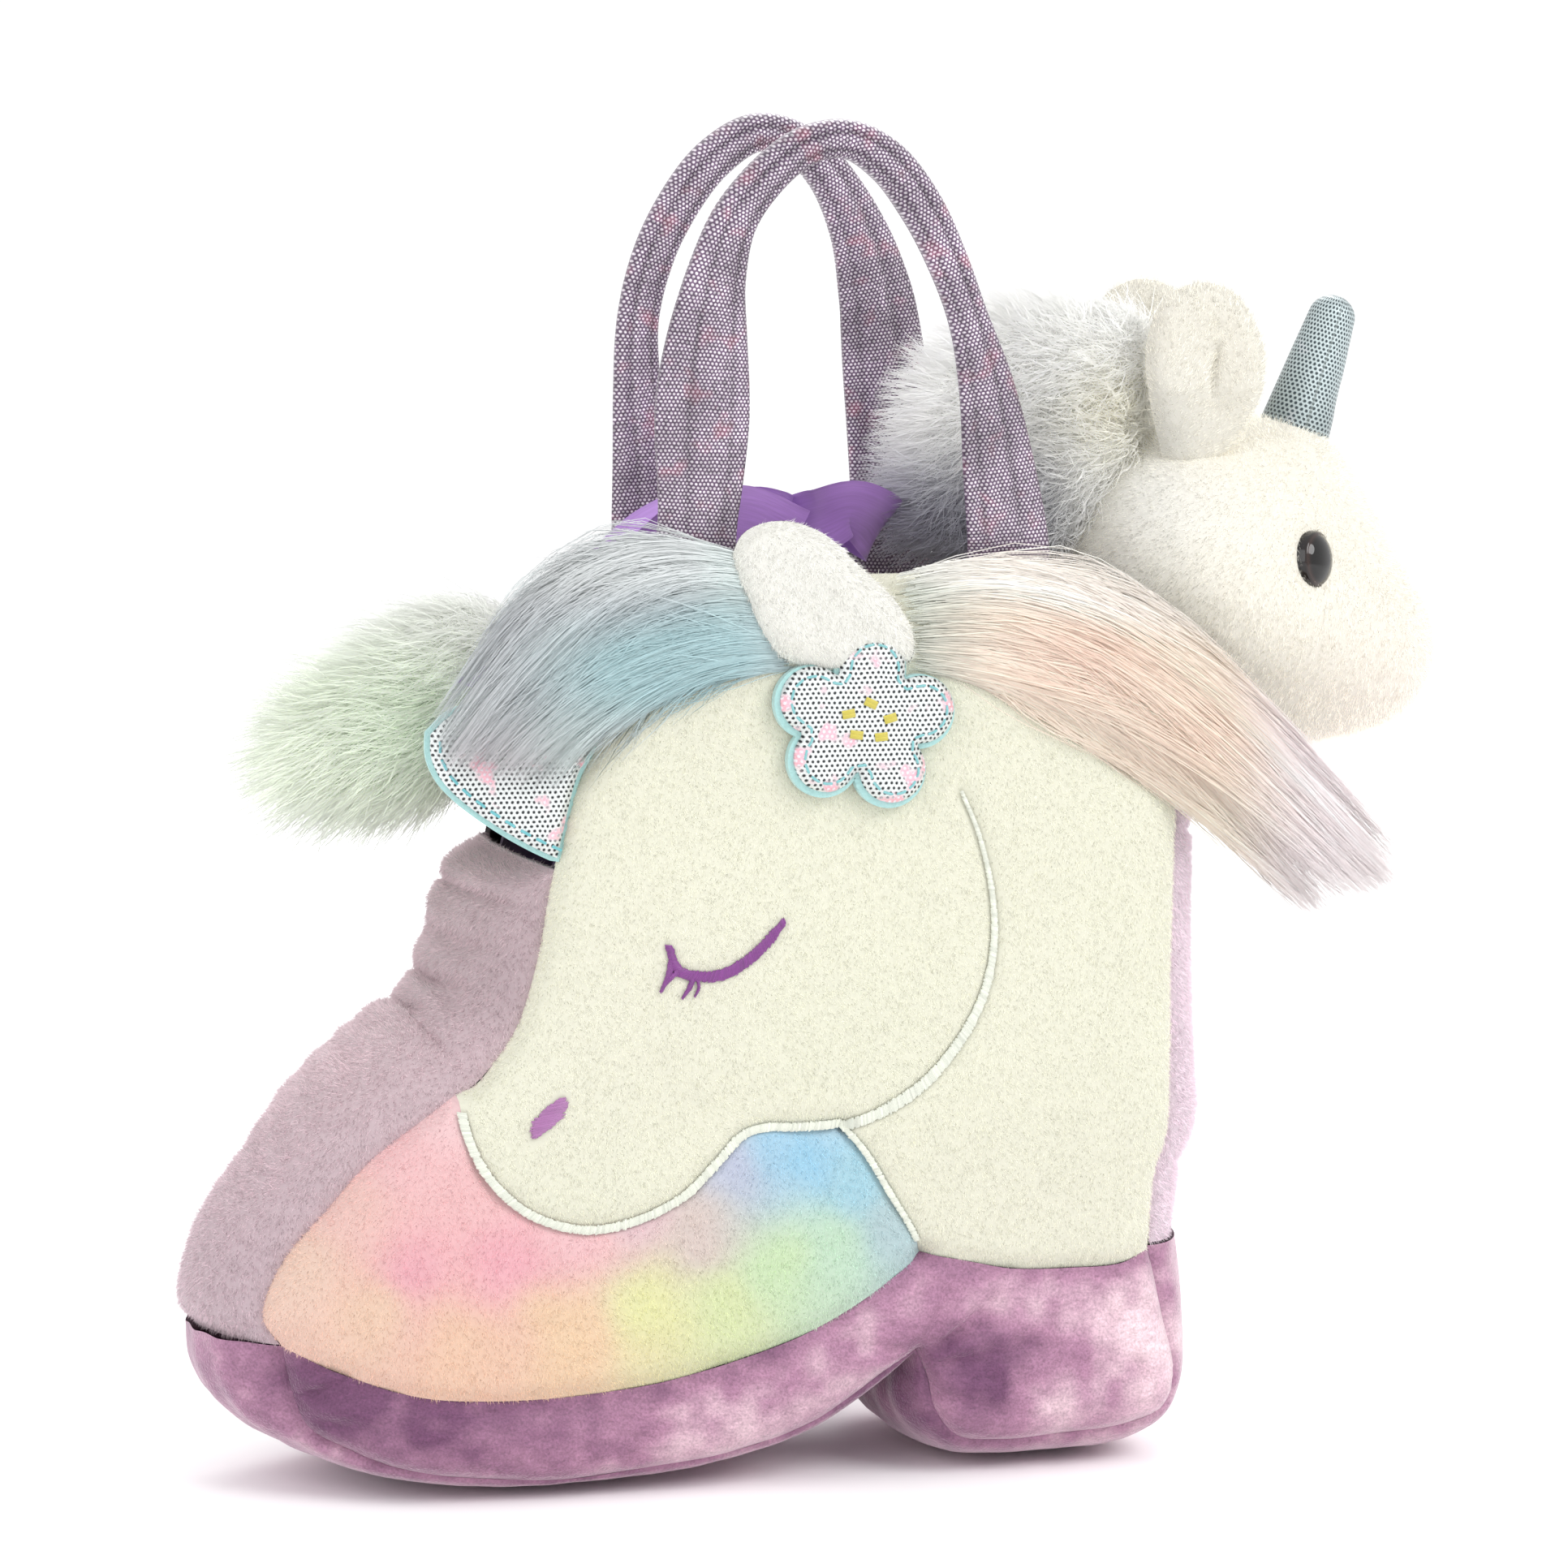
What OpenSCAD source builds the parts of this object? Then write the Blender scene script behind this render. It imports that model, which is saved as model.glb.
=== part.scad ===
// Plush unicorn sitting in a boot-shaped plush carrier purse.
// Frame: +X from the boot's toe towards its heel, +Z up, the decorated face of the purse looks along -Y.
// The origin is on the floor, under the middle of the whole object.

/* [Purse] */
// Half the distance between the front and back seams of the purse
bag_half_depth = 24; // [23:0.5:25]
// How far the toe and heel gussets swell past the side seams
gusset_crown = 9; // [8:0.5:10]
// Thickness of a gusset with its backing
gusset_t = 1.5; // [1.2:0.1:1.8]
// Thickness of a sewn side panel at its edge
panel_t = 2.2; // [1.8:0.1:2.4]
// Height of the top edge of the side panels
panel_top = 133.5; // [133:0.5:134]
// Thickness of the satin lining
lining_t = 0.8; // [0.6:0.1:0.9]

/* [Handles] */
// Height of the fold line where a handle leaves the purse
handle_fold_z = 136.2; // [136:0.1:136.5]
// Distance of the fold line from the middle plane
handle_fold_y = 23.4; // [23.2:0.1:23.6]
// Thickness of the handle cloth
handle_cloth = 0.6; // [0.5:0.1:0.7]

/* [Plush unicorn] */
// Radius of the barrel
body_r = 17; // [16:0.5:17]
// Height of the barrel's centre line
body_z = 115; // [114:0.5:116]
// Thickness of the plush skin
skin = 1.2; // [1:0.1:1.4]
// Radius of the round eyes
eye_r = 4.6; // [4.2:0.1:4.8]
// Angle of the neck from upright
neck_tilt = 42; // [40:1:44]

/* [Hidden] */
// Shift that puts the middle of the whole object over the origin
shift = [-2.106, 2.8, 2.4];

// ---------- helpers ----------
function unit(v) = v / norm(v);
// Left-hand normal of a path at point i
function nrm(p, i) = let (a = p[max(i - 1, 0)], b = p[min(i + 1, len(p) - 1)], t = unit(b - a)) [-t[1], t[0]];
function rev(v) = [for (i = [len(v) - 1:-1:0]) v[i]];
function shifted(p, d) = [for (i = [0:len(p) - 1]) p[i] + d * nrm(p, i)];
// A ribbon-shaped outline of half width w along a path
function band2(p, w) = concat(shifted(p, w), rev(shifted(p, -w)));
// A solid between two grids of points with the same rows and columns
module sheet(A, B) {
  n = len(A); m = len(A[0]); N = n * m;
  polyhedron(points = concat([for (r = A) each r], [for (r = B) each r]), faces = concat(
    [for (i = [0:n - 2], j = [0:m - 2]) each [[i*m+j, i*m+j+1, (i+1)*m+j+1], [i*m+j, (i+1)*m+j+1, (i+1)*m+j]]],
    [for (i = [0:n - 2], j = [0:m - 2]) each [[N+i*m+j, N+(i+1)*m+j+1, N+i*m+j+1], [N+i*m+j, N+(i+1)*m+j, N+(i+1)*m+j+1]]],
    [for (j = [0:m - 2]) each [[j, N+j, N+j+1], [j, N+j+1, j+1]]],
    [for (j = [0:m - 2], k = [(n-1)*m]) each [[k+j, k+j+1, N+k+j+1], [k+j, N+k+j+1, N+k+j]]],
    [for (i = [0:n - 2]) each [[i*m, (i+1)*m, N+(i+1)*m], [i*m, N+(i+1)*m, N+i*m]]],
    [for (i = [0:n - 2], k = [m-1]) each [[i*m+k, N+i*m+k, N+(i+1)*m+k], [i*m+k, N+(i+1)*m+k, (i+1)*m+k]]]));
}
// A tube through closed rings of m points, with flat ends
module tube(R) {
  n = len(R); m = len(R[0]);
  polyhedron(points = [for (r = R) each r], faces = concat(
    [[for (j = [0:m - 1]) j]], [[for (j = [m - 1:-1:0]) (n-1)*m+j]],
    [for (i = [0:n - 2], j = [0:m - 1]) let (k = (j + 1) % m) each [[i*m+j, (i+1)*m+k, i*m+k], [i*m+j, (i+1)*m+j, (i+1)*m+k]]]));
}
// A hollow tube: outer rings A, inner rings B
module sleeve(A, B) {
  n = len(A); m = len(A[0]); N = n * m;
  polyhedron(points = concat([for (r = A) each r], [for (r = B) each r]), faces = concat(
    [for (i = [0:n - 2], j = [0:m - 1]) let (k = (j + 1) % m) each [[i*m+j, (i+1)*m+k, i*m+k], [i*m+j, (i+1)*m+j, (i+1)*m+k]]],
    [for (i = [0:n - 2], j = [0:m - 1]) let (k = (j + 1) % m) each [[N+i*m+j, N+i*m+k, N+(i+1)*m+k], [N+i*m+j, N+(i+1)*m+k, N+(i+1)*m+j]]],
    [for (j = [0:m - 1]) let (k = (j + 1) % m) each [[j, k, N+k], [j, N+k, N+j]]],
    [for (j = [0:m - 1]) let (k = (j + 1) % m, b = (n-1)*m) each [[b+j, N+b+k, b+k], [b+j, N+b+j, N+b+k]]]));
}
// A puffed panel: an outline, its middle, its flat back at y0, its seam edge at y1 and its rise past that; s is -1 on the front
module puffed(p, c, y0, y1, rise, s) {
  f = [1, 1, 0.97, 0.88, 0.7]; y = [y0, y1, y1 + 0.45 * rise, y1 + 0.8 * rise, y1 + rise];
  m = len(p);
  R = [for (k = [0:4]) [for (q = p) [c[0] + f[k] * (q[0] - c[0]), s * y[k], c[1] + f[k] * (q[1] - c[1])]]];
  pts = concat([for (r = R) each r], [[c[0], s * y0, c[1]], [c[0], s * (y1 + rise), c[1]]]);
  fl = concat(
    [for (j = [0:m - 1]) let (k = (j + 1) % m) [5*m, k, j]],
    [for (j = [0:m - 1]) let (k = (j + 1) % m) [5*m+1, 4*m+j, 4*m+k]],
    [for (i = [0:3], j = [0:m - 1]) let (k = (j + 1) % m) each [[i*m+j, i*m+k, (i+1)*m+k], [i*m+j, (i+1)*m+k, (i+1)*m+j]]]);
  polyhedron(points = pts, faces = s < 0 ? [for (t = fl) rev(t)] : fl);
}
// A plate with an outline in X and Z, from y1 to y2
module plate(p, y1, y2) translate([0, y2, 0]) rotate([90, 0, 0]) linear_extrude(y2 - y1) polygon(p);
// Spheres joined into one smooth body; each is [x, y, z, r], and g grows them all
module blob(S, g = 0) hull() for (s = S) translate([s[0], s[1], s[2]]) sphere(r = s[3] + g, $fn = 28);

// ---------- purse outlines, [x, z] ----------
instep_path = [[-43.5, 90], [-45, 84.5], [-46, 79], [-47.5, 73.5], [-50, 68], [-53.5, 63.5], [-58.7, 58.7], [-65, 53.5], [-72, 47.5], [-79, 40.5], [-85, 33.5], [-88, 28], [-88.2, 24]];
heel_path = [[48.5, 31.6], [48.8, 40], [50.5, 47], [51.3, 60], [51.4, 75], [51.7, 90], [51.9, 99]];
muzzle = [[-57.8, 52.7], [-54.8, 46.6], [-48.7, 41], [-40.2, 38.2], [-32.9, 39], [-25.5, 42.3], [-20.5, 47], [-16.2, 51.4], [-8.7, 52.1], [-1.3, 52.1]];
throat = [[2.5, 47.7], [6.3, 41.4], [9.4, 36.4], [11.6, 32]];
face_shape = concat([[-37.9, 109], [-41, 103], [-42.5, 97.5], [-43.5, 92.5], [-44.7, 87], [-45.8, 81], [-47.1, 75], [-49.6, 68], [-52.7, 63], [-55.7, 59.8], [-58.5, 58.4]],
  muzzle, throat, [[17, 30.9], [25.9, 29.1], [34.8, 28.8], [42.5, 29.1], [47.9, 31], [48.4, 43], [50.8, 48], [51.3, 60.3], [51.3, 72.6], [51.7, 89.8], [52, 104.5], [51, 116], [46, 127], [36, 133.5],
  [20, panel_top], [-10, panel_top], [-26, panel_top - 0.5], [-33, 124], [-36, 115]]);
vamp_shape = [[-58.7, 58.1], [-64.4, 54], [-71.6, 48.2], [-78.9, 40.3], [-84.7, 33.5], [-87.7, 27.8], [-88, 24.3], [-85.6, 20.7], [-79.1, 18], [-67.1, 14.8], [-55, 13.5], [-42.8, 13.5], [-30.5, 14.6], [-18.1, 17.3], [-5.6, 21.5], [4.4, 27.1], [11, 32.1],
  [8.8, 36.4], [5.8, 41.2], [2.1, 47.3], [-1.5, 51.7], [-8.7, 51.7], [-16, 50.9], [-20.3, 46.5], [-25.3, 41.8], [-32.8, 38.5], [-40.3, 37.7], [-49, 40.6], [-55.2, 46.3], [-58.2, 52.5]];
band_shape = [[-85.4, 20.2], [-79, 17.6], [-67, 14.3], [-55, 13], [-42.8, 13], [-30.4, 14.1], [-18, 16.8], [-5.4, 21], [4.6, 26.6], [11.7, 31.5], [17, 30.5], [25.9, 28.7], [34.8, 28.4], [42.5, 28.7], [47.8, 30.6],
  [48.7, 23], [52, 12], [50.8, 6.3], [45.6, 3.8], [32.7, 2.9], [18, 3.1], [14.8, 7.6], [13.5, 12.6], [11.6, 17], [7.2, 14.2], [2.2, 10.8], [-5.4, 6.2], [-17.9, 2.6], [-42.6, 0.9], [-52.4, 1], [-69.4, 3.4], [-82, 8.3]];
// Underside of the boot from the toe, under the arch and round the heel
sole_path = [[-96.5, 22.5], [-95, 16.5], [-90, 10.5], [-80, 3.8], [-68, -0.8], [-59, -2.4], [-31, -2.4], [-15, -0.6], [-4, 3], [3, 6.6], [8, 10.4], [11.6, 14.4],
  [12.2, 10.5], [13, 5.5], [15.2, 0.8], [18.8, -1.6], [22.5, -2.4], [46, -2.4], [51, -0.8], [55, 4.5], [57, 13], [57.5, 24], [57.5, 30.5]];
sole_inner = [[-95, 22.5], [-93.5, 17], [-89, 11.8], [-79.4, 5.3], [-67.6, 0.7], [-59, -0.9], [-31, -0.9], [-15.3, 0.9], [-4.6, 4.4], [2.2, 7.9], [7, 11.6], [11.7, 16.6],
  [13.7, 10.8], [14.4, 6.2], [16.3, 2], [19.4, -0.2], [22.5, -0.9], [46, -0.9], [50, 0.6], [53.6, 5.4], [55.5, 13.4], [56, 24], [56, 30.5]];
pouch_shape = [[-30, 133], [-35.5, 112], [-40, 98], [-41.8, 89], [-43.5, 78], [-43, 66], [-38, 50], [-30, 38], [-22, 33.5], [40, 33.5], [45.5, 38], [47.2, 60], [47.6, 90], [47.8, 104], [46, 118], [40, 130], [34, 133]];

pouch_inner = [[-29.4, 140], [-34.7, 112], [-39.2, 98], [-41, 89], [-42.7, 78], [-42.2, 66.2], [-37.3, 50.4], [-29.4, 38.6], [-21.8, 34.3], [39.7, 34.3], [44.8, 38.4], [46.4, 60], [46.8, 90], [47, 104], [45.3, 117.8], [39.4, 130], [34, 140]];

// A crowned strip along a seam path, between the two side seams
module crowned(path, half, crown, t) {
  k = 8;
  sheet([for (i = [0:len(path) - 1]) [for (j = [0:k]) let (y = -half * cos(180 * j / k), b = crown * pow(max(0, 1 - pow(y / half, 2)), 0.6), q = path[i] - b * nrm(path, i)) [q[0], y, q[1]]]],
        [for (i = [0:len(path) - 1]) [for (j = [0:k]) let (h = half - t, y = -h * cos(180 * j / k), b = (crown - t) * pow(max(0, 1 - pow(y / h, 2)), 0.6), q = path[i] - b * nrm(path, i)) [q[0], y, q[1]]]]);
}

// ---------- purse ----------
yf = bag_half_depth + 0.2;
module front_face_panel() { color([0.96, 0.95, 0.89]) puffed(face_shape, [-2, 80], yf, yf + panel_t, 0.9, -1); }
module front_vamp_panel() { color([0.98, 0.76, 0.79]) puffed(vamp_shape, [-42, 27], yf, yf + panel_t, 0.9, -1); }
module front_sole_band() { color([0.62, 0.45, 0.62]) plate(band_shape, -yf - panel_t, -yf); }
module back_shaft_panel() { color([0.78, 0.67, 0.77]) puffed(face_shape, [-2, 80], yf, yf + panel_t, 0.9, 1); }
module back_vamp_panel() { color([0.98, 0.76, 0.79]) puffed(vamp_shape, [-42, 27], yf, yf + panel_t, 0.9, 1); }
module back_sole_band() { color([0.62, 0.45, 0.62]) plate(band_shape, yf, yf + panel_t); }
module instep_gusset() { color([0.76, 0.65, 0.75]) crowned(instep_path, bag_half_depth, gusset_crown, gusset_t); }
module heel_gusset() { color([0.8, 0.68, 0.79]) crowned(heel_path, bag_half_depth, gusset_crown - 0.5, gusset_t); }
module instep_elastic() { color([0.95, 0.95, 0.93]) crowned([[-43.5, 88.6], [-44.7, 84.4]], bag_half_depth - gusset_t - 0.35, gusset_crown - gusset_t - 0.3, 0.8); }
sole_plan = [[-97, -7], [-96.2, -13.5], [-93, -19], [-89, -22.5], [-85, -bag_half_depth], [47, -bag_half_depth], [52, -22], [55.5, -17.5], [57.5, -10]];
module outsole() {
  color([0.58, 0.42, 0.6]) intersection() {
    plate(concat(sole_path, rev(sole_inner)), -bag_half_depth, bag_half_depth);
    translate([0, 0, -5]) linear_extrude(44) polygon(concat(sole_plan, [for (q = rev(sole_plan)) [q[0], -q[1]]]));
  }
}
module lining_pouch() {
  color([0.35, 0.2, 0.42]) difference() {
    plate(pouch_shape, -22.3, 22.3);
    plate(pouch_inner, -22.3 + lining_t, 22.3 - lining_t);
    translate([-29, -22.3 + lining_t, 128]) cube([62, 2 * (22.3 - lining_t), 12]);
    translate([-60, -22.3 + lining_t, 89]) cube([60, 2 * (22.3 - lining_t), 60]);
    translate([-1, -22.3 + lining_t, 98]) cube([60, 2 * (22.3 - lining_t), 60]);
  }
}
module toe_stuffing() {
  color([0.97, 0.97, 0.97]) plate([[-92, 22], [-90.5, 30], [-86, 37.5], [-78, 46.5], [-70, 54], [-62, 59.5], [-53.5, 64.2], [-48, 67], [-44.8, 64], [-39.8, 50.5], [-31.4, 37.2], [-23, 32.7], [10, 32.7],
    [7.6, 16], [3, 11.4], [-4, 7], [-14.5, 3.6], [-28, 1], [-62, 1], [-67.4, 2.8], [-78.8, 6.6], [-88, 12.6], [-91.5, 17.5]], -16, 16);
}
module heel_stuffing() {
  color([0.97, 0.97, 0.97]) plate([[15.2, 27], [15.6, 13], [16.6, 7], [18.4, 3.4], [21, 1.6], [24, 1], [45, 1], [47.5, 2.6], [49.8, 6.2], [51, 14.5], [51.5, 24], [51.5, 30.5], [17.5, 30.5]], -19, 19);
}
// Satin-stitched lines stand a little proud of the panel
st1 = yf + panel_t + 1.05; st2 = st1 + 0.55;
jaw = [[-0.9, 51.8], [5.6, 54.3], [11.9, 58.3], [17.5, 64.8], [20.7, 71.4], [22.2, 78.7], [21.9, 86], [20, 94.5], [17.2, 101.3]];
module face_outline_stitching() {
  color([0.87, 0.87, 0.84]) {
    plate(band2(concat([[-58.4, 57.6]], muzzle), 0.6), -st2, -st1);
    plate(band2(jaw, 0.8), -st2, -st1);
    plate(band2(concat([[-1.3, 51.6]], throat), 0.5), -st2, -st1);
  }
}
module sleeping_eye_stitching() {
  color([0.45, 0.16, 0.47]) {
    plate(band2([[-27.8, 80], [-26.3, 76.6], [-23.2, 75.1], [-19.5, 75.3], [-15.8, 77.2], [-12.7, 80], [-10.2, 83]], 0.65), -st2, -st1);
    plate(band2([[-27, 77], [-28.6, 73.6]], 0.45), -st2, -st1);
    plate(band2([[-24.6, 75.6], [-25.7, 72.3]], 0.45), -st2, -st1);
  }
}
module nostril_stitching() { color([0.62, 0.35, 0.66]) plate([[-43.8, 58.1], [-45.9, 57], [-47.4, 55], [-48.1, 52.2], [-45.6, 53], [-44, 54.8]], -st2, -st1); }
horn_shape = [[-62.1, 110.6], [-61.3, 106.5], [-59, 103], [-55.7, 100], [-49.7, 96], [-43.9, 93], [-42.9, 97.6], [-41.4, 103.2], [-38.3, 109.2], [-37, 113.5], [-49.6, 114.6], [-58, 113.4]];
module face_horn_felt() { color([0.6, 0.82, 0.82]) plate(horn_shape, -25.2, -24.3); }
module face_horn_cloth() { color([0.8, 0.82, 0.83]) plate([for (q = horn_shape) [-49 + 0.955 * (q[0] + 49), 104.4 + 0.95 * (q[1] - 104.4)]], -26.9, -25.3); }
module face_ear_base() { color([0.96, 0.95, 0.89]) plate([[-13.6, 125.8], [-12, 122.6], [-6.2, 120.4], [3.7, 120.4], [8.7, 121], [10.2, 123], [10.5, 125.8]], -30, -27.7); }
module petals(r, y1, y2) {
  translate([1.8, y2, 112.8]) rotate([90, 0, 0]) {
    cylinder(r = 7.2, h = y2 - y1);
    for (a = [84, 10, -63, -137, 160]) rotate(a) translate([8.5, 0, 0]) cylinder(r = r, h = y2 - y1);
  }
}
module flower_felt() { color([0.6, 0.85, 0.84]) petals(5.4, -30.9, -30.2); }
module flower_cloth() { color([0.8, 0.82, 0.85]) petals(4.9, -32.2, -31); }
module flower_knots() { color([0.78, 0.72, 0.25]) for (q = [[-1.2, 113.6], [2, 115], [4.8, 112.7], [-0.3, 110.4], [3.4, 109.6]]) translate([q[0], -32.3, q[1]]) rotate([90, 0, 0]) cylinder(r = 0.9, h = 0.6); }
module mane_backing() {
  color([0.9, 0.92, 0.92]) {
    plate([[-31, 131.5], [-17, 131.5], [-15, 123.5], [-30, 123.5]], -27.95, -27.45);
    plate([[12.5, 131.5], [37, 130.5], [40, 123], [14, 123]], -27.95, -27.45);
  }
}
module mane_left_lock() { color([0.72, 0.84, 0.86]) plate([[-13.8, 118.2], [-14.6, 123], [-17, 131.5], [-30, 131.8], [-38, 131], [-47.5, 127], [-55, 119], [-59.5, 113.5], [-55, 110], [-45, 110.5], [-35.5, 112.5], [-24.6, 115.5]], -31.6, -28); }
module mane_right_lock() { color([0.95, 0.84, 0.8]) plate([[11.8, 131.5], [25, 131.8], [37, 130], [50, 122], [64, 108.5], [76, 96], [81, 91.5], [75, 87.5], [64.5, 94], [50, 104.5], [37.6, 111], [25, 115.5], [17.5, 118.5], [12, 124]], -31.6, -28); }

// ---------- handles ----------
// Each row: x, z, half width, half thickness, y
front_loop = [[-22.1, 137.7, 6, 1.2, 23.4], [-21.8, 142, 6, 1.25, 23.35], [-21.4, 147, 6.4, 1.3, 23.2], [-21, 158, 7.2, 1.5, 23], [-20.2, 168, 6.2, 1.9, 22.7], [-18.8, 177, 4.6, 2.4, 22.4], [-16, 185.5, 3.5, 2.8, 22.2], [-11, 192, 3.1, 3, 22.1],
  [-4.7, 196.6, 2.9, 3.1, 22], [1.5, 197.4, 2.9, 3.1, 22], [7.5, 194, 3.2, 3, 22], [12.5, 187.6, 3.2, 2.9, 22.1], [16.4, 180, 3, 2.7, 22.3], [19.6, 171.5, 3, 2.3, 22.6], [22.4, 161.5, 4.2, 1.9, 22.9], [24.3, 149.5, 5.6, 1.4, 23.2], [25.8, 137.7, 6.4, 1.2, 23.4]];
back_loop = [[-17.5, 137.7, 6.2, 1.2, 23.4], [-18.3, 148, 5.2, 1.4, 23.2], [-19.6, 159, 3.8, 1.7, 23], [-19.6, 170, 3.2, 2, 22.7], [-17.5, 179, 3.2, 2.4, 22.4], [-13.4, 187.5, 3.2, 2.8, 22.2], [-7.8, 194.6, 3.2, 3, 22],
  [-1, 198.6, 3, 3.1, 22], [5, 197.3, 3.1, 3, 22], [10.5, 192.3, 3.4, 2.8, 22], [15.2, 184, 4.4, 2.4, 22.2], [18.2, 174, 5.8, 1.9, 22.5], [19.9, 162, 6.6, 1.6, 22.9], [20.8, 150, 6.6, 1.3, 23.2], [21.2, 137.7, 6.4, 1.2, 23.4]];
function loop_rings(L, s, g, a, b) = let (p = [for (q = L) [q[0], q[1]]]) [for (i = [a:b]) let (n = nrm(p, i)) [for (k = [0:11]) let (w = (L[i][2] - g) * cos(30 * k), t = (L[i][3] - g) * sin(30 * k)) [p[i][0] + w * n[0], s * (L[i][4] + t), p[i][1] + w * n[1]]]];
function turned(R, s) = s > 0 ? R : [for (r = R) rev(r)];
module handle_strap(L, s) sleeve(turned(loop_rings(L, s, 0, 0, len(L) - 1), s), turned(loop_rings(L, s, handle_cloth, 0, len(L) - 1), s));
module handle_padding(L, s) tube(turned(loop_rings(L, s, handle_cloth + 0.3, 3, len(L) - 3), s));
module front_handle_strap() { color([0.66, 0.55, 0.66]) handle_strap(front_loop, -1); }
module front_handle_padding() { color([0.95, 0.95, 0.95]) handle_padding(front_loop, -1); }
module back_handle_strap() { color([0.6, 0.48, 0.62]) handle_strap(back_loop, 1); }
module back_handle_padding() { color([0.95, 0.95, 0.95]) handle_padding(back_loop, 1); }
// The sewn-in ends of the handles, between the panel and the lining
module handle_tabs(L, s) for (q = [L[0], L[len(L) - 1]]) translate([q[0] - q[2], min(s * 22.8, s * 24), 118]) cube([2 * q[2], 1.2, handle_fold_z - 1.5 - 118]);
module front_handle_tabs() { color([0.66, 0.55, 0.66]) handle_tabs(front_loop, -1); }
module back_handle_tabs() { color([0.6, 0.48, 0.62]) handle_tabs(back_loop, 1); }

// ---------- stuffed ear on the face ----------
module face_ear_flap() { color([0.96, 0.95, 0.89]) plate([[-13.4, 128.6], [-14.5, 132.2], [-14.6, 136.4], [-12.9, 140.2], [-8.2, 141.8], [-3, 140.3], [3, 135.5], [8.2, 130], [9.3, 128.6]], -30, -27.7); }

// ---------- unicorn ----------
ju = [sin(neck_tilt), cos(neck_tilt)];
skull = [62, 131];
neck_at = skull - 9.5 * ju;
barrel = [[-19, 0, body_z, body_r], [31, 0, body_z - 2, body_r]];
neck = [[34, 0, 112, 16.5], [54.5, 0, 123.5, 15.5], [61, 0, 113.5, 11]];
head = [[62, 0, 131, 23], [74, 0, 139, 16], [87.5, 0, 119, 14], [72, 0, 117, 14]];
// Half space on the head's side of the neck seam, d further along the neck
module beyond_neck(d) translate([neck_at[0], 0, neck_at[1]]) rotate([0, neck_tilt, 0]) translate([-60, -60, d]) cube(120);
module side(s) translate([-150, s > 0 ? 0.1 : -100.1, 0]) cube([300, 100, 300]);
module trunk(g) { blob(barrel, g); blob(neck, g); }
module body_skin(s) difference() { intersection() { trunk(0); side(s); } trunk(-skin); beyond_neck(-0.3); }
module unicorn_body_left_skin() { color([0.97, 0.96, 0.9]) body_skin(1); }
module unicorn_body_right_skin() { color([0.97, 0.96, 0.9]) body_skin(-1); }
module unicorn_body_stuffing() {
  color([0.97, 0.97, 0.97]) difference() { trunk(-skin - 0.25); beyond_neck(-0.5); translate([-15.5, -20, 90]) cube([36, 40, 17.2]); }
}
module bean_bag() { color([0.85, 0.82, 0.75]) intersection() { blob(barrel, -skin - 0.25); translate([-15, -20, 90]) cube([35, 40, 16.8]); } }
module leg(x, y, r) {
  color([0.97, 0.96, 0.9]) difference() {
    translate([x, y, 34.7]) { cylinder(r = r, h = 76); }
    blob(barrel, 0.4); blob(neck, 0.4);
  }
}
module unicorn_left_foreleg() leg(30, 9.2, 7.2);
module unicorn_right_foreleg() leg(30, -9.2, 7.2);
module unicorn_left_hindleg() leg(-14, 9.2, 7);
module unicorn_right_hindleg() leg(-14, -9.2, 7);
module unicorn_neck_mane() {
  color([0.93, 0.95, 0.93]) difference() {
    blob([[25.5, 0, 147, 9.5], [30, 0, 161, 11.5], [37, 0, 162.5, 9.5], [36, 0, 140, 10]]);
    blob(neck, 0.4); blob(barrel, 0.4); blob(head, 0.6);
  }
}
module unicorn_tail() { color([0.88, 0.92, 0.86]) blob([[-45, 0, 117.5, 7.5], [-51, 0, 116.5, 12.5], [-62, 0, 110, 13], [-76, 0, 106.5, 8.5]]); }
// Ribbon tied round the barrel, with its bow on the back
module ribbon_band() { color([0.45, 0.22, 0.58]) translate([-3, 0, body_z - 1]) rotate([0, 90, 0]) difference() { cylinder(r = body_r + 1.55, h = 10); translate([0, 0, -1]) cylinder(r = body_r + 1.05, h = 12); } }
module bow_knot() { color([0.42, 0.2, 0.55]) translate([-3, 0, body_z + body_r + 4.1]) rotate([0, 90, 0]) cylinder(r = 3.2, h = 5.4); }
teardrop = [[0, 0.4], [2.5, 2.6], [5.5, 4.6], [8.5, 5.2], [10.6, 4], [11.4, 1.6], [11.4, -1.6], [10.6, -4], [8.5, -5.2], [5.5, -4.6], [2.5, -2.6], [0, -0.4]];
teardrop_in = [[2.2, 1.4], [3, 2], [5.7, 3.8], [8.3, 4.4], [10, 3.4], [10.6, 1.4], [10.6, -1.4], [10, -3.4], [8.3, -4.4], [5.7, -3.8], [3, -2], [2.2, -1.4]];
module bow_loop(s) translate([s > 0 ? 3 : -3.6, 0, 134.6]) linear_extrude(10) difference() { polygon([for (q = teardrop) [s * q[0], q[1]]]); polygon([for (q = teardrop_in) [s * q[0], q[1]]]); }
module bow_right_loop() { color([0.48, 0.25, 0.62]) bow_loop(1); }
module bow_left_loop() { color([0.48, 0.25, 0.62]) bow_loop(-1); }
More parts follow.
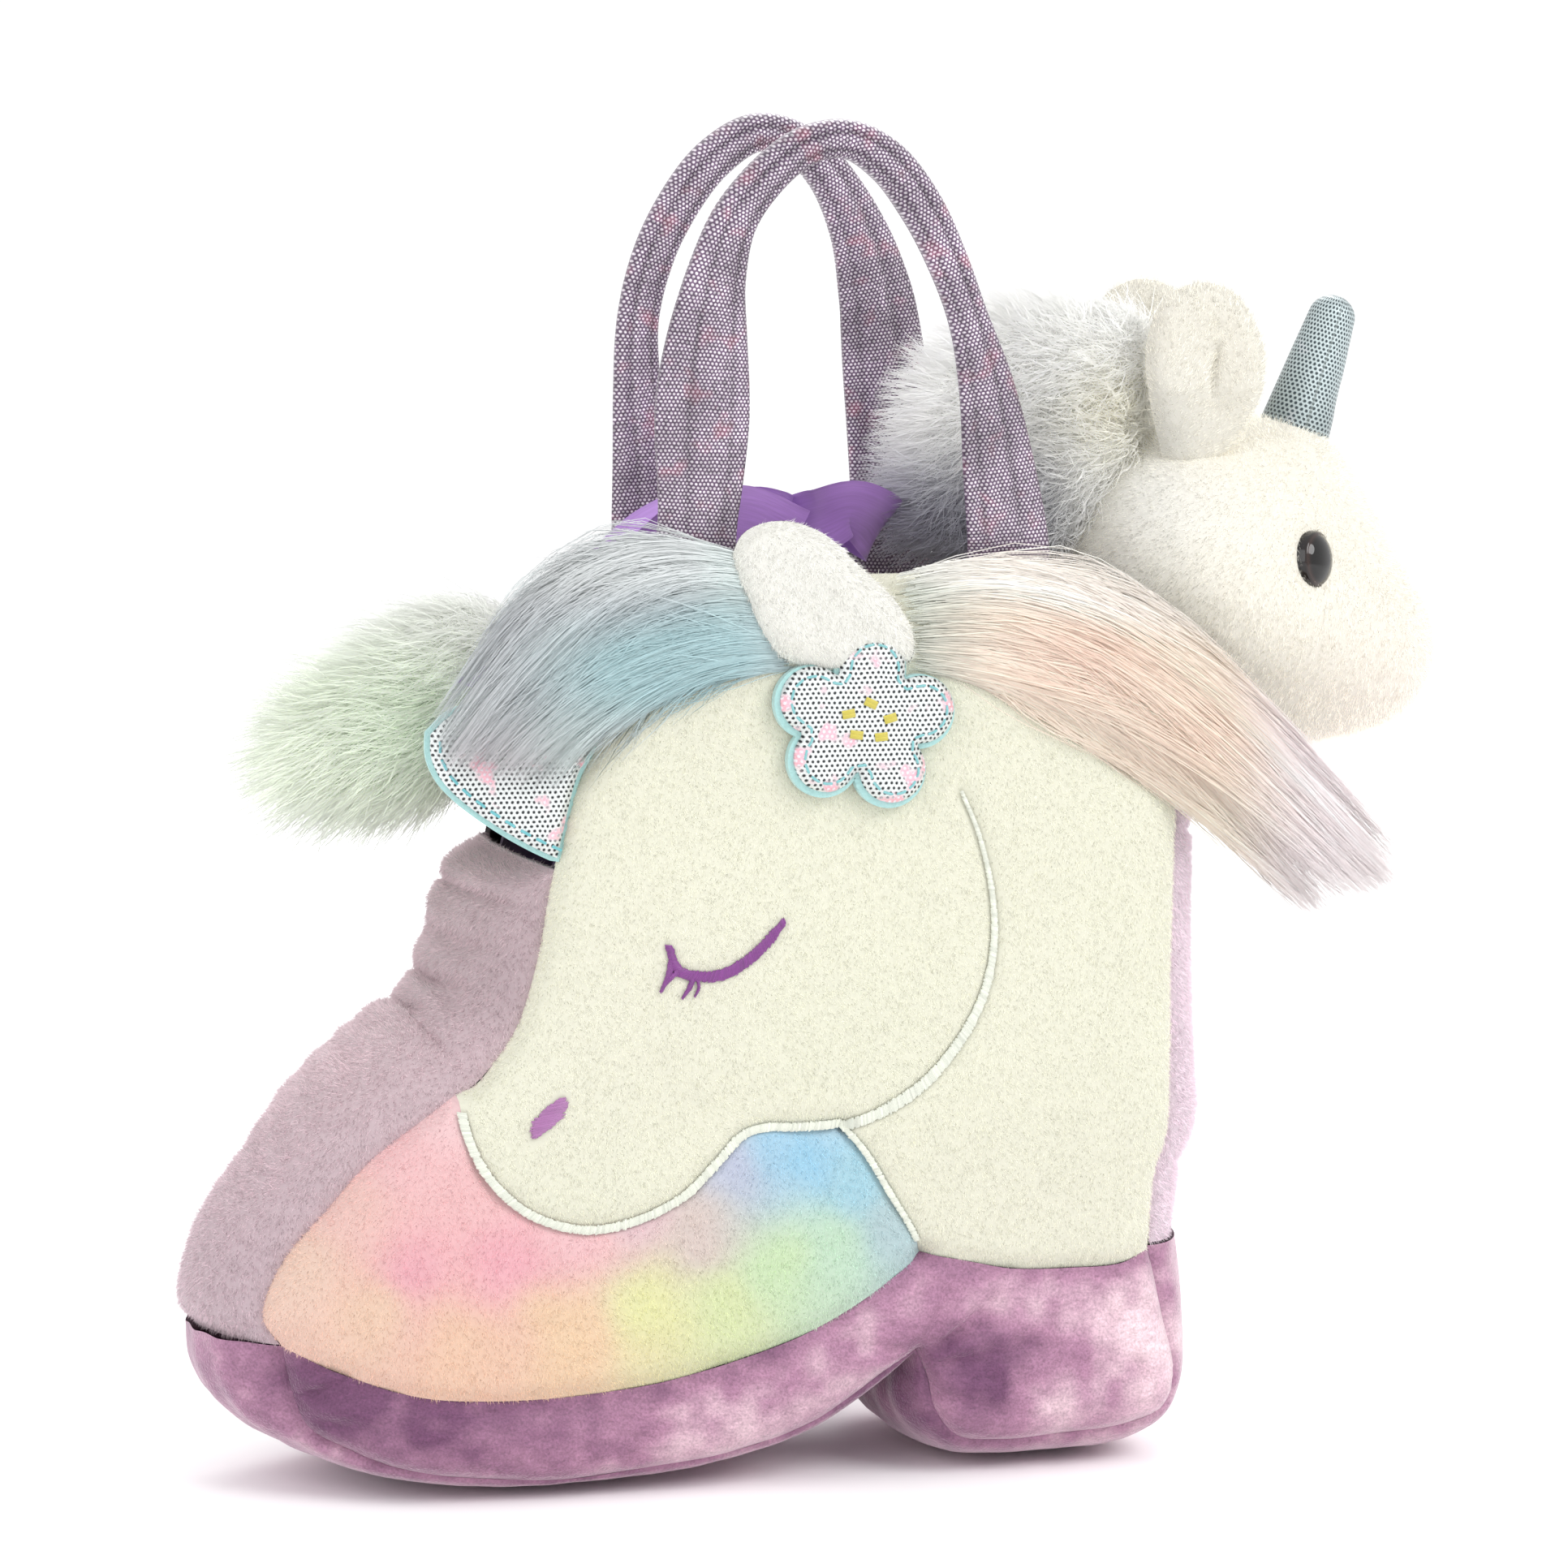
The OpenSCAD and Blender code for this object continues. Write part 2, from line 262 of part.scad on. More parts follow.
// Ribbon tails: rows of x, y, z with the width along the second vector
left_tail = [[-2, -4.4, 137], [-12, -9, 140.6], [-21, -13, 139.4], [-31, -15, 131.4], [-41, -15.6, 123.4], [-50, -15.6, 116.6]];
right_tail = [[-2, 4.4, 137], [-11, 9, 140], [-19, 13, 137], [-27, 15, 129.5], [-34, 15.6, 122]];
module ribbon_tail(P) {
  w = [for (i = [0:len(P) - 1]) let (a = P[max(i-1, 0)], b = P[min(i+1, len(P)-1)], t = unit(b - a)) unit([-t[2], 0, t[0]]) * 4.6];
  q = [[0, 0.3, 0], [0, -0.3, 0]];
  sheet([for (i = [0:len(P)-1]) [for (k = [-1, 0, 1]) P[i] + k * w[i] + q[0]]], [for (i = [0:len(P)-1]) [for (k = [-1, 0, 1]) P[i] + k * w[i] + q[1]]]);
}
module bow_left_tail() { color([0.45, 0.22, 0.58]) ribbon_tail(left_tail); }
module bow_right_tail() { color([0.45, 0.22, 0.58]) ribbon_tail(right_tail); }

// ---------- head ----------
eye_at = [75.5, 18.2, 134];
eye_out = [0.55, 0.83, 0.08];
module along_eye(s) translate([eye_at[0], s * eye_at[1], eye_at[2]]) rotate([0, acos(unit(eye_out)[2]), s * atan2(eye_out[1], eye_out[0])]) children();
module head_skin(s) difference() { intersection() { blob(head); beyond_neck(0.3); side(s); } blob(head, -skin); along_eye(s) { translate([0, 0, -6]) cylinder(r = 1.6, h = 12); translate([0, 0, 0.4]) cylinder(r = 5, h = 9); } }
module unicorn_head_left_skin() { color([0.97, 0.96, 0.9]) head_skin(1); }
module unicorn_head_right_skin() { color([0.97, 0.96, 0.9]) head_skin(-1); }
module unicorn_head_stuffing() {
  color([0.97, 0.97, 0.97]) difference() {
    intersection() { blob(head, -skin - 0.25); beyond_neck(0.5); }
    for (s = [-1, 1]) along_eye(s) translate([0, 0, -9]) cylinder(r = 4.5, h = 20);
  }
}
ear_shape = [[54, 145], [51.2, 154], [49.8, 162.4], [50.4, 168.5], [52.8, 173.4], [56, 175.6], [59.5, 176.5], [64.3, 175.4], [67.4, 171.5], [69.3, 166.5], [69.3, 161], [67.6, 155], [65, 145]];
module ear(s) {
  color([0.97, 0.96, 0.9]) difference() {
    plate(ear_shape, s > 0 ? 12 : -17, s > 0 ? 17 : -12);
    blob(head, 0.3);
  }
}
module unicorn_left_ear() ear(1);
module unicorn_right_ear() ear(-1);
horn_at = [78.6, 151];
module along_horn() translate([horn_at[0], 0, horn_at[1]]) rotate([0, 19, 0]) children();
module horn_solid(g) { cylinder(r1 = 6 - g, r2 = 3.6 - g, h = 20.5); translate([0, 0, 20.2]) sphere(r = 3.63 - g); }
module unicorn_horn_cloth() { color([0.66, 0.8, 0.84]) difference() { along_horn() difference() { horn_solid(0); horn_solid(0.6); } blob(head, 0.2); } }
module unicorn_horn_stuffing() { color([0.97, 0.97, 0.97]) difference() { along_horn() cylinder(r1 = 5.2, r2 = 2.8, h = 20); blob(head, 0.2); } }
module eye(s) {
  color([0.05, 0.04, 0.04]) along_eye(s) {
    intersection() { translate([0, 0, -0.4]) sphere(r = eye_r); translate([-8, -8, 0.5]) cube([16, 16, 8]); }
    translate([0, 0, -8]) cylinder(r = 1.4, h = 8.6);
  }
}
module unicorn_left_eye() eye(1);
module unicorn_right_eye() eye(-1);
module eye_washers() { color([0.9, 0.9, 0.9]) for (s = [-1, 1]) along_eye(s) translate([0, 0, -5]) difference() { cylinder(r = 4.2, h = 1.2); translate([0, 0, -1]) cylinder(r = 1.5, h = 4); } }

module place() translate(shift) children();
place() front_face_panel();
place() front_vamp_panel();
place() front_sole_band();
place() back_shaft_panel();
place() back_vamp_panel();
place() back_sole_band();
place() instep_gusset();
place() heel_gusset();
place() instep_elastic();
place() outsole();
place() lining_pouch();
place() toe_stuffing();
place() heel_stuffing();
place() face_outline_stitching();
place() sleeping_eye_stitching();
place() nostril_stitching();
place() face_horn_felt();
place() face_horn_cloth();
place() face_ear_base();
place() flower_felt();
place() flower_cloth();
place() flower_knots();
place() mane_backing();
place() mane_left_lock();
place() mane_right_lock();
place() front_handle_tabs();
place() back_handle_tabs();
place() front_handle_strap();
place() front_handle_padding();
place() back_handle_strap();
place() back_handle_padding();
place() face_ear_flap();
place() unicorn_body_left_skin();
place() unicorn_body_right_skin();
place() unicorn_body_stuffing();
place() bean_bag();
place() unicorn_left_foreleg();
place() unicorn_right_foreleg();
place() unicorn_left_hindleg();
place() unicorn_right_hindleg();
place() unicorn_neck_mane();
place() ribbon_band();
place() bow_knot();
place() bow_left_loop();
place() bow_right_loop();
place() bow_left_tail();
place() bow_right_tail();
place() unicorn_tail();
place() unicorn_head_left_skin();
place() unicorn_head_right_skin();
place() unicorn_head_stuffing();
place() unicorn_left_ear();
place() unicorn_right_ear();
place() unicorn_horn_cloth();
place() unicorn_horn_stuffing();
place() unicorn_left_eye();
place() unicorn_right_eye();
place() eye_washers();
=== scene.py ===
import bpy, bmesh, math
import numpy as np
from mathutils import Vector, Matrix
from mathutils.geometry import delaunay_2d_cdt


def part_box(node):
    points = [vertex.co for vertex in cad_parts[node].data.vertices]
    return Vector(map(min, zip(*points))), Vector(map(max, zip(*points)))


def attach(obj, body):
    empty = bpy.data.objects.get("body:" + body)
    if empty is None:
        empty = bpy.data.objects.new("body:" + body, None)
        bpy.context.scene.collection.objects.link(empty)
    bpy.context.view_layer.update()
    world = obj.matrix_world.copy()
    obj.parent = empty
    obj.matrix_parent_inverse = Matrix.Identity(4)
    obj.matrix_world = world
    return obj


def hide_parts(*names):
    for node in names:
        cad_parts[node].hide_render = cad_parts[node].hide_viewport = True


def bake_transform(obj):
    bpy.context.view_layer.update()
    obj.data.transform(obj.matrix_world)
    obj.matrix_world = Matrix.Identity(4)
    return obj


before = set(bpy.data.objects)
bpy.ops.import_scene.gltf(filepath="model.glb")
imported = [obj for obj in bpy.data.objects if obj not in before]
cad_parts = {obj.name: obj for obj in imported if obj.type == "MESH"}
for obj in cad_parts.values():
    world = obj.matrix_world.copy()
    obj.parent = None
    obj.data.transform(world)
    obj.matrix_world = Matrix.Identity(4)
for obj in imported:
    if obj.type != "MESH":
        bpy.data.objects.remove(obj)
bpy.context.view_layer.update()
# Outlines are in millimetres in the drawing's own frame; SH moves them to the row frame
SH = np.array(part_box("front_sole_band")[0]) * 1000 - np.array([-85.4, -26.4, 0.9])


PILE = 0.64  # pile catches light from all round
GAIN = 0.82  # the studio light is bright, so every colour is a little darker than it looks


# ---------------------------------------------------------------- small maths
def lin(r, g, b):
    c = np.array([r, g, b], float) / 255
    return np.where(c <= 0.04045, c / 12.92, ((c + 0.055) / 1.055) ** 2.4)


def unit(v):
    return v / np.maximum(np.linalg.norm(v, axis=-1, keepdims=True), 1e-9)


def sstep(t):
    t = np.clip(t, 0, 1)
    return t * t * (3 - 2 * t)


def mix(a, b, t):
    return a + (b - a) * t


def hashed(i, j, k, seed):
    h = (i * 374761393 + j * 668265263 + k * 2147483647 + seed * 974634777) & 0xFFFFFFFF
    h = ((h ^ (h >> 13)) * 1274126177) & 0xFFFFFFFF
    h = ((h ^ (h >> 16)) * 2246822519) & 0xFFFFFFFF
    return ((h ^ (h >> 15)) & 0xFFFFFF) / float(0xFFFFFF) * 2 - 1


def noise(P, size, seed=1):
    """Smooth noise from -1 to 1 over cells of the given size."""
    q = np.asarray(P, float) / size
    if q.shape[-1] == 2:
        q = np.concatenate([q, np.zeros(q.shape[:-1] + (1,))], -1)
    i = np.floor(q).astype(np.int64)
    f = q - i
    f = f * f * f * (f * (f * 6 - 15) + 10)
    out = 0
    for a in (0, 1):
        for b in (0, 1):
            for c in (0, 1):
                w = (f[..., 0] if a else 1 - f[..., 0]) * (f[..., 1] if b else 1 - f[..., 1]) * (f[..., 2] if c else 1 - f[..., 2])
                out = out + w * hashed(i[..., 0] + a, i[..., 1] + b, i[..., 2] + c, seed)
    return out


def fbm(P, size, seed=1, n=3):
    return sum(noise(P, size / 2 ** k, seed + k) / 2 ** k for k in range(n)) / sum(0.5 ** k for k in range(n))


def spline(P, step=0.8, closed=False):
    """A smooth curve through the points, cut into even steps."""
    P = np.array(P, float)
    n = len(P)
    if closed:
        Q = np.concatenate([P[-1:], P, P[:2]])
    else:
        Q = np.concatenate([[2 * P[0] - P[1]], P, [2 * P[-1] - P[-2]]])
    out = []
    for i in range(n if closed else n - 1):
        a, b, c, d = Q[i:i + 4]
        t0, t1, t2, t3 = 0, *np.cumsum([max(np.linalg.norm(u), 1e-6) ** 0.5 for u in (b - a, c - b, d - c)])
        t = np.linspace(t1, t2, 16, endpoint=False)[:, None]
        A1 = (t1 - t) / (t1 - t0) * a + (t - t0) / (t1 - t0) * b
        A2 = (t2 - t) / (t2 - t1) * b + (t - t1) / (t2 - t1) * c
        A3 = (t3 - t) / (t3 - t2) * c + (t - t2) / (t3 - t2) * d
        B1 = (t2 - t) / (t2 - t0) * A1 + (t - t0) / (t2 - t0) * A2
        B2 = (t3 - t) / (t3 - t1) * A2 + (t - t1) / (t3 - t1) * A3
        out.append((t2 - t) / (t2 - t1) * B1 + (t - t1) / (t2 - t1) * B2)
    out = np.concatenate(out + [P[:1] if closed else P[-1:]])
    s = np.concatenate([[0], np.cumsum(np.linalg.norm(np.diff(out, axis=0), axis=1))])
    m = max(int(round(s[-1] / step)), 3)
    u = np.linspace(0, s[-1], m + 1)
    r = np.stack([np.interp(u, s, out[:, k]) for k in range(P.shape[1])], 1)
    return r[:-1] if closed else r


def evenly(P, m):
    s = np.concatenate([[0], np.cumsum(np.linalg.norm(np.diff(P, axis=0), axis=1))])
    u = np.linspace(0, s[-1], m)
    return np.stack([np.interp(u, s, P[:, k]) for k in range(P.shape[1])], 1)


def join(*parts):
    out = [parts[0]]
    for p in parts[1:]:
        out.append(p[1:] if np.linalg.norm(p[0] - out[-1][-1]) < 0.6 else p)
    r = np.concatenate(out)
    return r[:-1] if np.linalg.norm(r[0] - r[-1]) < 0.6 else r


def dist(P, line):
    """Distance of 2-D points from a line of points."""
    A, B = line[:-1], line[1:]
    d = B - A
    L = np.maximum((d ** 2).sum(1), 1e-9)
    out = np.empty(len(P))
    for i in range(0, len(P), 4000):
        q = P[i:i + 4000, None] - A[None]
        t = np.clip((q * d).sum(-1) / L, 0, 1)
        out[i:i + 4000] = np.sqrt(((q - t[..., None] * d) ** 2).sum(-1).min(1))
    return out


def inside(P, poly):
    a, b = poly, np.roll(poly, -1, 0)
    x, z = P[:, 0:1], P[:, 1:2]
    cross = ((a[:, 1] > z) != (b[:, 1] > z)) & (x < (b[:, 0] - a[:, 0]) * (z - a[:, 1]) / np.where(b[:, 1] == a[:, 1], 1e-9, b[:, 1] - a[:, 1]) + a[:, 0])
    return cross.sum(1) % 2 == 1


def fill(outline, step=1.0):
    """Triangles over an outline: (points, triangles), wound anticlockwise in the plane."""
    lo, hi = outline.min(0), outline.max(0)
    g = []
    for j, z in enumerate(np.arange(lo[1], hi[1], step * 0.866)):
        g += [(x, z) for x in np.arange(lo[0] + (j % 2) * step / 2, hi[0], step)]
    g = np.array(g)
    g = g[inside(g, outline)]
    g = g[dist(g, np.concatenate([outline, outline[:1]])) > step * 0.55]
    n = len(outline)
    pts = np.concatenate([outline, g])
    v, _, f, *_ = delaunay_2d_cdt([Vector(p) for p in pts], [(i, (i + 1) % n) for i in range(n)], [], 1, 1e-5)
    v = np.array([tuple(p) for p in v])
    f = np.array([t for t in f if len(t) == 3])
    c = v[f].mean(1)
    f = f[inside(c, outline)]
    e1, e2 = v[f[:, 1]] - v[f[:, 0]], v[f[:, 2]] - v[f[:, 0]]
    a = e1[:, 0] * e2[:, 1] - e1[:, 1] * e2[:, 0]
    f[a < 0] = f[a < 0][:, ::-1]
    return v, f[np.abs(a) > 1e-7]


def grid(n, m, closed=False):
    i, j = np.meshgrid(np.arange(n - 1), np.arange(m if closed else m - 1), indexing="ij")
    a, b = i * m + j, i * m + (j + 1) % m
    c, d = a + m, (i + 1) * m + (j + 1) % m
    return np.concatenate([np.stack([a, b, d], -1).reshape(-1, 3), np.stack([a, d, c], -1).reshape(-1, 3)])


def normals(V, T):
    fn = np.cross(V[T[:, 1]] - V[T[:, 0]], V[T[:, 2]] - V[T[:, 0]])
    N = np.zeros_like(V)
    for k in range(3):
        np.add.at(N, T[:, k], fn)
    return unit(N)


class Soup:
    """Pieces of one mesh: vertices, triangles, colours, normals and a flat map in millimetres."""

    def __init__(self):
        self.v, self.t, self.c, self.n, self.u, self.k, self.m = [], [], [], [], [], 0, []

    def add(self, V, T, C, N=None, U=None, slot=0):
        V = np.asarray(V, float)
        T = np.asarray(T, int)
        C = np.broadcast_to(np.asarray(C, float), (len(V), 3))
        self.v.append(V)
        self.t.append(T + self.k)
        self.c.append(C)
        self.n.append(normals(V, T) if N is None else N)
        self.u.append(np.zeros((len(V), 2)) if U is None else U)
        self.m.append(np.full(len(T), slot))
        self.k += len(V)
        return self

    def make(self, name, mats, body=None, blend=None, replaces=(), slot=None, fill=None, gain=None):
        gain = gain or (PILE if mats in (M_PLUSH, M_LONG) else GAIN)
        V, T, C, N, U, M = (np.concatenate(x) for x in (self.v, self.t, self.c, self.n, self.u, self.m))
        mats = mats if isinstance(mats, (list, tuple)) else [M_PLUSH, M_PILE] if mats is M_PLUSH else [M_PLUSH, M_LONG] if mats is M_LONG else [mats]
        me = bpy.data.meshes.new(name)
        me.vertices.add(len(V))
        me.vertices.foreach_set("co", ((V + SH) / 1000).astype(np.float32).ravel())
        me.loops.add(3 * len(T))
        me.loops.foreach_set("vertex_index", T.astype(np.int32).ravel())
        me.polygons.add(len(T))
        me.polygons.foreach_set("loop_start", np.arange(0, 3 * len(T), 3, dtype=np.int32))
        me.polygons.foreach_set("material_index", M.astype(np.int32))
        me.update(calc_edges=True)
        me.polygons.foreach_set("use_smooth", np.ones(len(T), bool))
        nr = me.attributes.new("Nrm", "FLOAT_VECTOR", "POINT")
        nr.data.foreach_set("vector", unit(N).astype(np.float32).ravel())
        C = np.clip(C, 0, 1) * gain
        a = me.color_attributes.new("Col", "FLOAT_COLOR", "POINT")
        a.data.foreach_set("color", np.concatenate([C, np.ones((len(C), 1))], 1).astype(np.float32).ravel())
        uv = me.uv_layers.new(name="UVMap")
        uv.data.foreach_set("uv", U[T.ravel()].astype(np.float32).ravel())
        me.normals_split_custom_set_from_vertices(unit(N).tolist())
        for m in mats:
            me.materials.append(m)
        ob = bpy.data.objects.new(name, me)
        bpy.context.scene.collection.objects.link(ob)
        if replaces:
            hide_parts(*replaces)
        if body:
            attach(ob, body)
        if blend:
            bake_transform(ob)
        return ob


def sample(V, T, N, C, density, seed, keep=None):
    """Random points spread evenly over triangles, with their normals and colours."""
    r = np.random.default_rng(seed)
    area = np.linalg.norm(np.cross(V[T[:, 1]] - V[T[:, 0]], V[T[:, 2]] - V[T[:, 0]]), axis=1) / 2
    if keep is not None:
        area = area * keep
    n = int(area.sum() * density)
    i = np.searchsorted(np.cumsum(area), r.random(n) * area.sum())
    i = np.minimum(i, len(T) - 1)
    a, b = r.random((2, n))
    s = a + b > 1
    a[s], b[s] = 1 - a[s], 1 - b[s]
    w = np.stack([1 - a - b, a, b], 1)[..., None]
    return (V[T[i]] * w).sum(1), unit((N[T[i]] * w).sum(1)), (C[T[i]] * w).sum(1)


def pile(soup, P, N, C, length=1.2, width=0.16, lean=(0, 0, -1), lay=0.7, seed=1, shade=0.05):
    """Short pile: one thin triangle a hair, shaded like the cloth it stands on."""
    r = np.random.default_rng(seed)
    n = len(P)
    lean = np.asarray(lean, float)
    flow = unit(lean + 0.55 * np.stack([noise(P, 9, seed), noise(P, 9, seed + 7), noise(P, 9, seed + 9)], 1) + 0.35 * r.normal(size=(n, 3)))
    flow = flow - (flow * N).sum(1, keepdims=True) * N
    L = length * (0.65 + 0.6 * r.random((n, 1)))
    tip = P + L * unit(N * (1 - 0.45 * lay) + flow * lay)
    s = unit(np.cross(N, r.normal(size=(n, 3)))) * width / 2
    base = P - 0.1 * N
    V = np.stack([base - s, base + s, tip], 1).reshape(-1, 3)
    c = C * (1 + shade * r.normal(size=(n, 1)))
    # each hair is painted darker at its root and a little lighter at its tip: painted shade among the roots; c's jitter
    # is random tone by hair
    C3 = np.stack([c * 0.94, c * 0.94, c * 1.02], 1).reshape(-1, 3)
    soft = unit(N + 0.12 * r.normal(size=(n, 3)))
    soup.add(V, np.arange(3 * n).reshape(-1, 3), np.clip(C3, 0, 1), np.repeat(soft, 3, 0), slot=1)


def strands(soup, paths, width, colours, face, U=None):
    """Long pile: tapered ribbons along paths (n, k, 3), coloured (n, k, 3) and facing (n, k, 3)."""
    n, k, _ = paths.shape
    tan = unit(np.gradient(paths, axis=1))
    side = unit(np.cross(tan, face))
    taper = np.interp(np.linspace(0, 1, k), [0, 0.25, 0.75, 1], [0.8, 1, 0.7, 0.12])
    w = np.asarray(width, float).reshape(-1, 1, 1) * taper[None, :, None] / 2
    V = np.stack([paths - side * w, paths + side * w], 2)
    base = (np.arange(n) * 2 * k)[:, None, None]
    j = np.arange(k - 1) * 2
    q = np.stack([np.stack([j, j + 1, j + 3], 1), np.stack([j, j + 3, j + 2], 1)], 1).reshape(1, -1, 3)
    T = (base + q).reshape(-1, 3)
    C = np.repeat(colours[:, :, None], 2, 2)
    F = np.repeat(face[:, :, None], 2, 2)
    soup.add(V.reshape(-1, 3), T, np.clip(C.reshape(-1, 3), 0, 1), F.reshape(-1, 3), slot=1)


# ---------------------------------------------------------------- materials
def principled(name, **values):
    m = bpy.data.materials.new(name)
    m.use_nodes = True
    nt = m.node_tree
    b = nt.nodes["Principled BSDF"]
    for k, v in values.items():
        s = b.inputs[k.replace("_", " ")]
        s.default_value = v
    return m, nt, b


def node(nt, kind, **kw):
    n = nt.nodes.new(kind)
    for k, v in kw.items():
        if k.startswith("i_"):
            key = k[2:]
            n.inputs[int(key) if key.isdigit() else key.replace("_", " ")].default_value = v
        else:
            setattr(n, k, v)
    return n


def maths(nt, op, a, b=None, c=None, clamp=False):
    n = nt.nodes.new("ShaderNodeMath")
    n.operation = op
    n.use_clamp = clamp
    for i, x in enumerate((a, b, c)):
        if x is None:
            continue
        if isinstance(x, (int, float)):
            n.inputs[i].default_value = x
        else:
            nt.links.new(x, n.inputs[i])
    return n.outputs[0]


def mixc(nt, t, a, b, blend="MIX"):
    n = nt.nodes.new("ShaderNodeMix")
    n.data_type = "RGBA"
    n.blend_type = blend
    for i, x in ((0, t), (6, a), (7, b)):
        if isinstance(x, (int, float)):
            n.inputs[i].default_value = x
        elif isinstance(x, (tuple, list, np.ndarray)):
            n.inputs[i].default_value = (*[float(y) for y in x][:3], 1)
        else:
            nt.links.new(x, n.inputs[i])
    return n.outputs[2]


def bump(nt, b, height, strength, distance):
    n = node(nt, "ShaderNodeBump", i_Strength=strength, i_Distance=distance)
    nt.links.new(height, n.inputs["Height"])
    nt.links.new(n.outputs[0], b.inputs["Normal"])


def noise_tex(nt, scale, detail=2, rough=0.5, vector=None):
    n = node(nt, "ShaderNodeTexNoise", i_Scale=scale, i_Detail=detail, i_Roughness=rough)
    if vector is not None:
        nt.links.new(vector, n.inputs["Vector"])
    else:
        g = nt.nodes.new("ShaderNodeTexCoord")
        nt.links.new(g.outputs["Object"], n.inputs["Vector"])
    return n.outputs[0]


def scaled(nt, vec, x, y, z):
    n = node(nt, "ShaderNodeVectorMath", operation="MULTIPLY")
    nt.links.new(vec, n.inputs[0])
    n.inputs[1].default_value = (x, y, z)
    return n.outputs[0]


def plush(name, sheen=0.35, rough=0.9, spread=0.06, grain=1600, through=False):
    m, nt, b = principled(name, Roughness=rough)
    b.inputs["Specular IOR Level"].default_value = 0.12
    b.inputs["Sheen Weight"].default_value = sheen
    b.inputs["Sheen Roughness"].default_value = 0.45
    col = node(nt, "ShaderNodeAttribute", attribute_name="Col")
    n = noise_tex(nt, grain, 2)
    v = maths(nt, "MULTIPLY_ADD", n, spread * 2, 1 - spread)
    c = node(nt, "ShaderNodeVectorMath", operation="SCALE")
    nt.links.new(col.outputs["Color"], c.inputs[0])
    nt.links.new(v, c.inputs["Scale"])
    nt.links.new(c.outputs[0], b.inputs["Base Color"])
    # hairs are shaded by the cloth they stand on, from either side
    at = node(nt, "ShaderNodeAttribute", attribute_name="Nrm")
    tr = node(nt, "ShaderNodeVectorTransform", vector_type="NORMAL", convert_from="OBJECT", convert_to="WORLD")
    nt.links.new(at.outputs["Vector"], tr.inputs[0])
    nt.links.new(tr.outputs[0], b.inputs["Normal"])
    if through:  # fine pale fibre lets part of the light through
        tl = nt.nodes.new("ShaderNodeBsdfTranslucent")
        other = node(nt, "ShaderNodeVectorMath", operation="SCALE")
        other.inputs["Scale"].default_value = -1.0
        nt.links.new(tr.outputs[0], other.inputs[0])
        nt.links.new(c.outputs[0], tl.inputs["Color"])
        nt.links.new(other.outputs[0], tl.inputs["Normal"])
        both = nt.nodes.new("ShaderNodeAddShader")
        nt.links.new(b.outputs[0], both.inputs[0])
        nt.links.new(tl.outputs[0], both.inputs[1])
        nt.links.new(both.outputs[0], nt.nodes["Material Output"].inputs["Surface"])
    return m


def hexdots(nt, u, v, pitch, radius, edge):
    """1 inside the dots of a hexagonal lattice on a flat map in millimetres."""
    h = pitch * math.sqrt(3)

    def cell(off):
        x = maths(nt, "SUBTRACT", maths(nt, "FRACT", maths(nt, "MULTIPLY_ADD", u, 1 / pitch, off)), 0.5)
        y = maths(nt, "SUBTRACT", maths(nt, "FRACT", maths(nt, "MULTIPLY_ADD", v, 1 / h, off)), 0.5)
        x, y = maths(nt, "MULTIPLY", x, pitch), maths(nt, "MULTIPLY", y, h)
        return maths(nt, "SQRT", maths(nt, "ADD", maths(nt, "MULTIPLY", x, x), maths(nt, "MULTIPLY", y, y)))

    d = maths(nt, "MINIMUM", cell(0.0), cell(0.5))
    return maths(nt, "SUBTRACT", 1.0, maths(nt, "DIVIDE", maths(nt, "SUBTRACT", d, radius - edge), 2 * edge, clamp=True))


